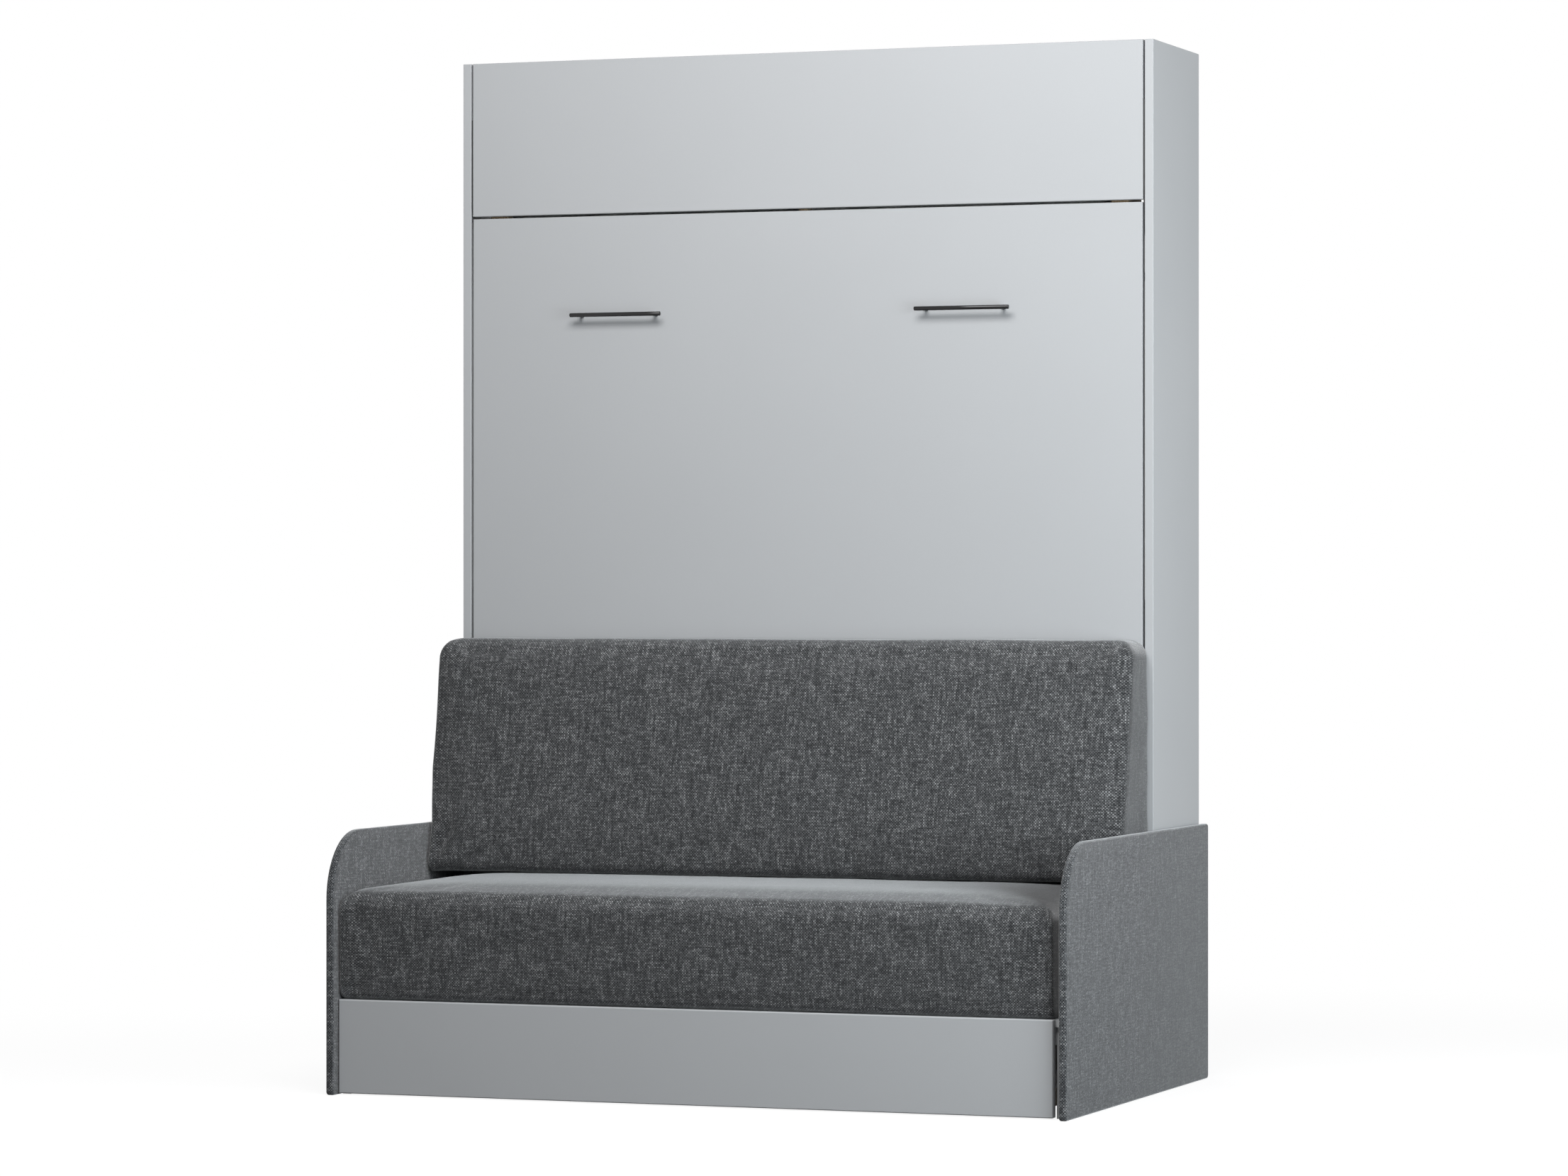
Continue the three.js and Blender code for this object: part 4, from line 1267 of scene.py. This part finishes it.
class WALLBED_OT_back(PieceOperator):
    """Make the back cushion"""
    bl_idname = "wall_bed.back"
    bl_label = "Back cushion"

    def execute(self, context):
        low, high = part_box("back_cushion")
        low += Vector((-7.3, 0, 0)) * MM
        high += Vector((4, 0, 0)) * MM
        top_depth, crown, draw, corner, left_lean = (
            size * MM for size in (112, 8, 1, 42, 8))
        size = high - low - Vector((8, 4, 8)) * MM
        rounding = Vector((12, 22, 24)) * MM
        block = SoftBlock(size, rounding)
        centre = (low + high) / 2
        centre.y = high.y - size.y / 2
        core_depth = size.y - 2 * rounding.y
        arm_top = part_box("sofa_arm_left")[1].z

        def form(core, u, v, w):
            front_share = 0.5 - core.y / core_depth
            full_depth = size.y + (top_depth - size.y) * (w + 1) / 2
            sunk = crown * (1 - crowned(u * u, w))
            core.y = core_depth / 2 - front_share * (full_depth - 2 * rounding.y - sunk)
            core.x -= math.copysign(draw, u) * drawn_in(2 * front_share - 1, w) * abs(u)

        def settled(co, normal):
            dent = folds_at(BACK_FOLDS, co, normal, low)
            soft = 1.3 * MM * noise.noise(co * 6.0)
            side = noise.noise(Vector((co.y * 9.0, co.z * 11.0, 8.2)))
            soft += 2.0 * MM * side * abs(normal.x)
            co = co + normal * (soft - dent)
            rounded_off(co, low, high, high.z, corner)
            co.x = min(high.x, max(low.x, co.x))
            over_arm = min(1.0, max(0.0, (co.z - arm_top) / (0.3 * (high.z - arm_top))))
            left_end = max(0.0, 1 - (co.x - low.x) / (60 * MM))
            co.x -= left_lean * over_arm * left_end
            co.y = min(high.y, co.y)
            co.z = min(high.z + MM, max(low.z, co.z))
            return co

        back = cushion("back_cushion", "back_cushion", block, block.shaped(form, centre),
                       (low, high), context.scene.wall_bed_sizes.back_puff,
                       lambda unit: unit[1] >= 0.99, Vector((30, 1, 6)) * MM, settled)
        return {"FINISHED"}


class WALLBED_OT_stage(PieceOperator):
    """Set the pale floor, the studio light and the camera"""
    bl_idname = "wall_bed.stage"
    bl_label = "Stage"

    def seen_by(self, graph):
        """One where a ray from the camera, a mirror or glass arrives."""
        camera = graph.node("ShaderNodeLightPath", output="Is Camera Ray")
        glossy = graph.other(camera, "Is Glossy Ray")
        glass = graph.other(camera, "Is Transmission Ray")
        return camera.most(glossy).most(glass)

    def floor(self):
        """A floor that keeps the shadow and turns white away from the object."""
        reach, lift, white_from, white_at = 30.0, 0.88, 1.4, 3.4
        corners = [(-reach, -reach, 0), (reach, -reach, 0), (reach, reach, 0),
                   (-reach, reach, 0)]
        mesh = mesh_of("studio_floor", corners, [[0, 1, 2, 3]])
        floor = linked(bpy.data.objects.new("studio_floor", mesh))
        made = Finish("pale_floor", Roughness=0.9, Specular_IOR_Level=0.0)
        made.set("Base Color", (0.18, 0.18, 0.18, 1.0))
        _, (x, y, _) = made.place()
        far = ((x * x + y * y) ** 0.5).smooth(white_from, white_at)
        glow, raised = (made.node("ShaderNodeEmission", inputs={
            "Color": (*WHITE, 1.0), "Strength": strength}) for strength in (1.0, lift))
        seen = self.seen_by(made)
        lit = made.node("ShaderNodeAddShader", inputs={0: made.surface, 1: raised})
        near = made.node("ShaderNodeMixShader", inputs={0: seen, 1: made.surface, 2: lit})
        made.end("ShaderNodeOutputMaterial", made.node("ShaderNodeMixShader", inputs={
            0: far * seen, 1: near, 2: glow}))
        mesh.materials.append(made.material)

    def world(self, room_light):
        """An even light that looks white to the camera."""
        world = bpy.data.worlds.new("studio")
        world.use_nodes = True
        bpy.context.scene.world = world
        graph = Graph(world.node_tree)
        graph.tree.nodes.clear()
        seen = self.seen_by(graph)
        sky, white = (graph.node("ShaderNodeBackground", inputs={
            "Color": colour, "Strength": strength}) for colour, strength in (
                ((0.97, 0.985, 1.0, 1.0), seen * (1.0 - room_light) + room_light),
                ((*WHITE, 1.0), 1.0)))
        graph.end("ShaderNodeOutputWorld", graph.node("ShaderNodeMixShader", inputs={
            0: seen, 1: sky, 2: white}))

    def execute(self, context):
        studio = context.scene.wall_bed_studio
        self.floor()
        self.world(studio.room_light)
        for name, size, place, target, colour in (
                ("top_light", (2.0, 1.2), (0.4, -2.3, 3.4), (0.0, 0.0, 1.0), WHITE),
                ("front_right_light", (1.6, 1.8), (2.7, -1.6, 1.2), (0.2, 0.0, 1.1),
                 (0.9, 0.968, 1.0)),
                ("side_light", (1.6, 2.2), (3.6, -0.3, 2.6), (0.2, 0.0, 1.1),
                 (0.93, 0.975, 1.0)),
                ("back_light", (2.2, 2.2), (-2.4, 3.4, 2.0), (-0.2, 0.4, 1.0), WHITE)):
            light = bpy.data.lights.new(name, "AREA")
            light.shape = "RECTANGLE"
            light.size, light.size_y = size
            light.energy = getattr(studio, name)
            light.color = colour
            lamp = linked(bpy.data.objects.new(name, light))
            lamp.location = place
            aim = Vector(target) - Vector(place)
            lamp.rotation_euler = aim.to_track_quat("-Z", "Y").to_euler()
        data = bpy.data.cameras.new("photo_camera")
        data.lens = 123.64
        data.sensor_width = 36.0
        data.clip_end = 100.0
        camera = linked(bpy.data.objects.new("photo_camera", data))
        camera.location = (3.9535, -10.5714, 1.0349)
        camera.rotation_euler = (math.radians(90.05), 0.0, math.radians(20.407))
        context.scene.camera = camera
        context.scene.view_settings.view_transform = "Standard"
        return {"FINISHED"}


class WALLBED_PT_panel(bpy.types.Panel):
    """Lists the pieces, their sizes, their colours and the studio's light"""
    bl_idname = "WALLBED_PT_panel"
    bl_label = "Wall bed"
    bl_space_type = "VIEW_3D"
    bl_region_type = "UI"
    bl_category = "Wall bed"

    def draw(self, context):
        for key in GROUPS:
            group = getattr(context.scene, key)
            box = self.layout.box()
            for name in group.__annotations__:
                box.prop(group, name)
        for operator in PIECES:
            self.layout.operator(operator.bl_idname)


PIECES = (WALLBED_OT_boards, WALLBED_OT_fittings, WALLBED_OT_screws, WALLBED_OT_slats,
          WALLBED_OT_mattress, WALLBED_OT_handles, WALLBED_OT_arms, WALLBED_OT_seat,
          WALLBED_OT_back, WALLBED_OT_stage)
GROUPS = {"wall_bed_sizes": WallBedSizes, "wall_bed_colours": WallBedColours,
          "wall_bed_studio": WallBedStudio}
CLASSES = (*GROUPS.values(), *PIECES, WALLBED_PT_panel)


def register():
    for each in CLASSES:
        bpy.utils.register_class(each)
    for name, group in GROUPS.items():
        setattr(bpy.types.Scene, name, PointerProperty(type=group))


def unregister():
    for name in GROUPS:
        delattr(bpy.types.Scene, name)
    for each in reversed(CLASSES):
        bpy.utils.unregister_class(each)


def main():
    register()
    bpy.ops.wall_bed.boards()
    bpy.ops.wall_bed.fittings()
    bpy.ops.wall_bed.screws()
    bpy.ops.wall_bed.slats()
    bpy.ops.wall_bed.mattress()
    bpy.ops.wall_bed.handles()
    bpy.ops.wall_bed.arms()
    bpy.ops.wall_bed.seat()
    bpy.ops.wall_bed.back()
    bpy.ops.wall_bed.stage()


if __name__ == "__main__":
    main()
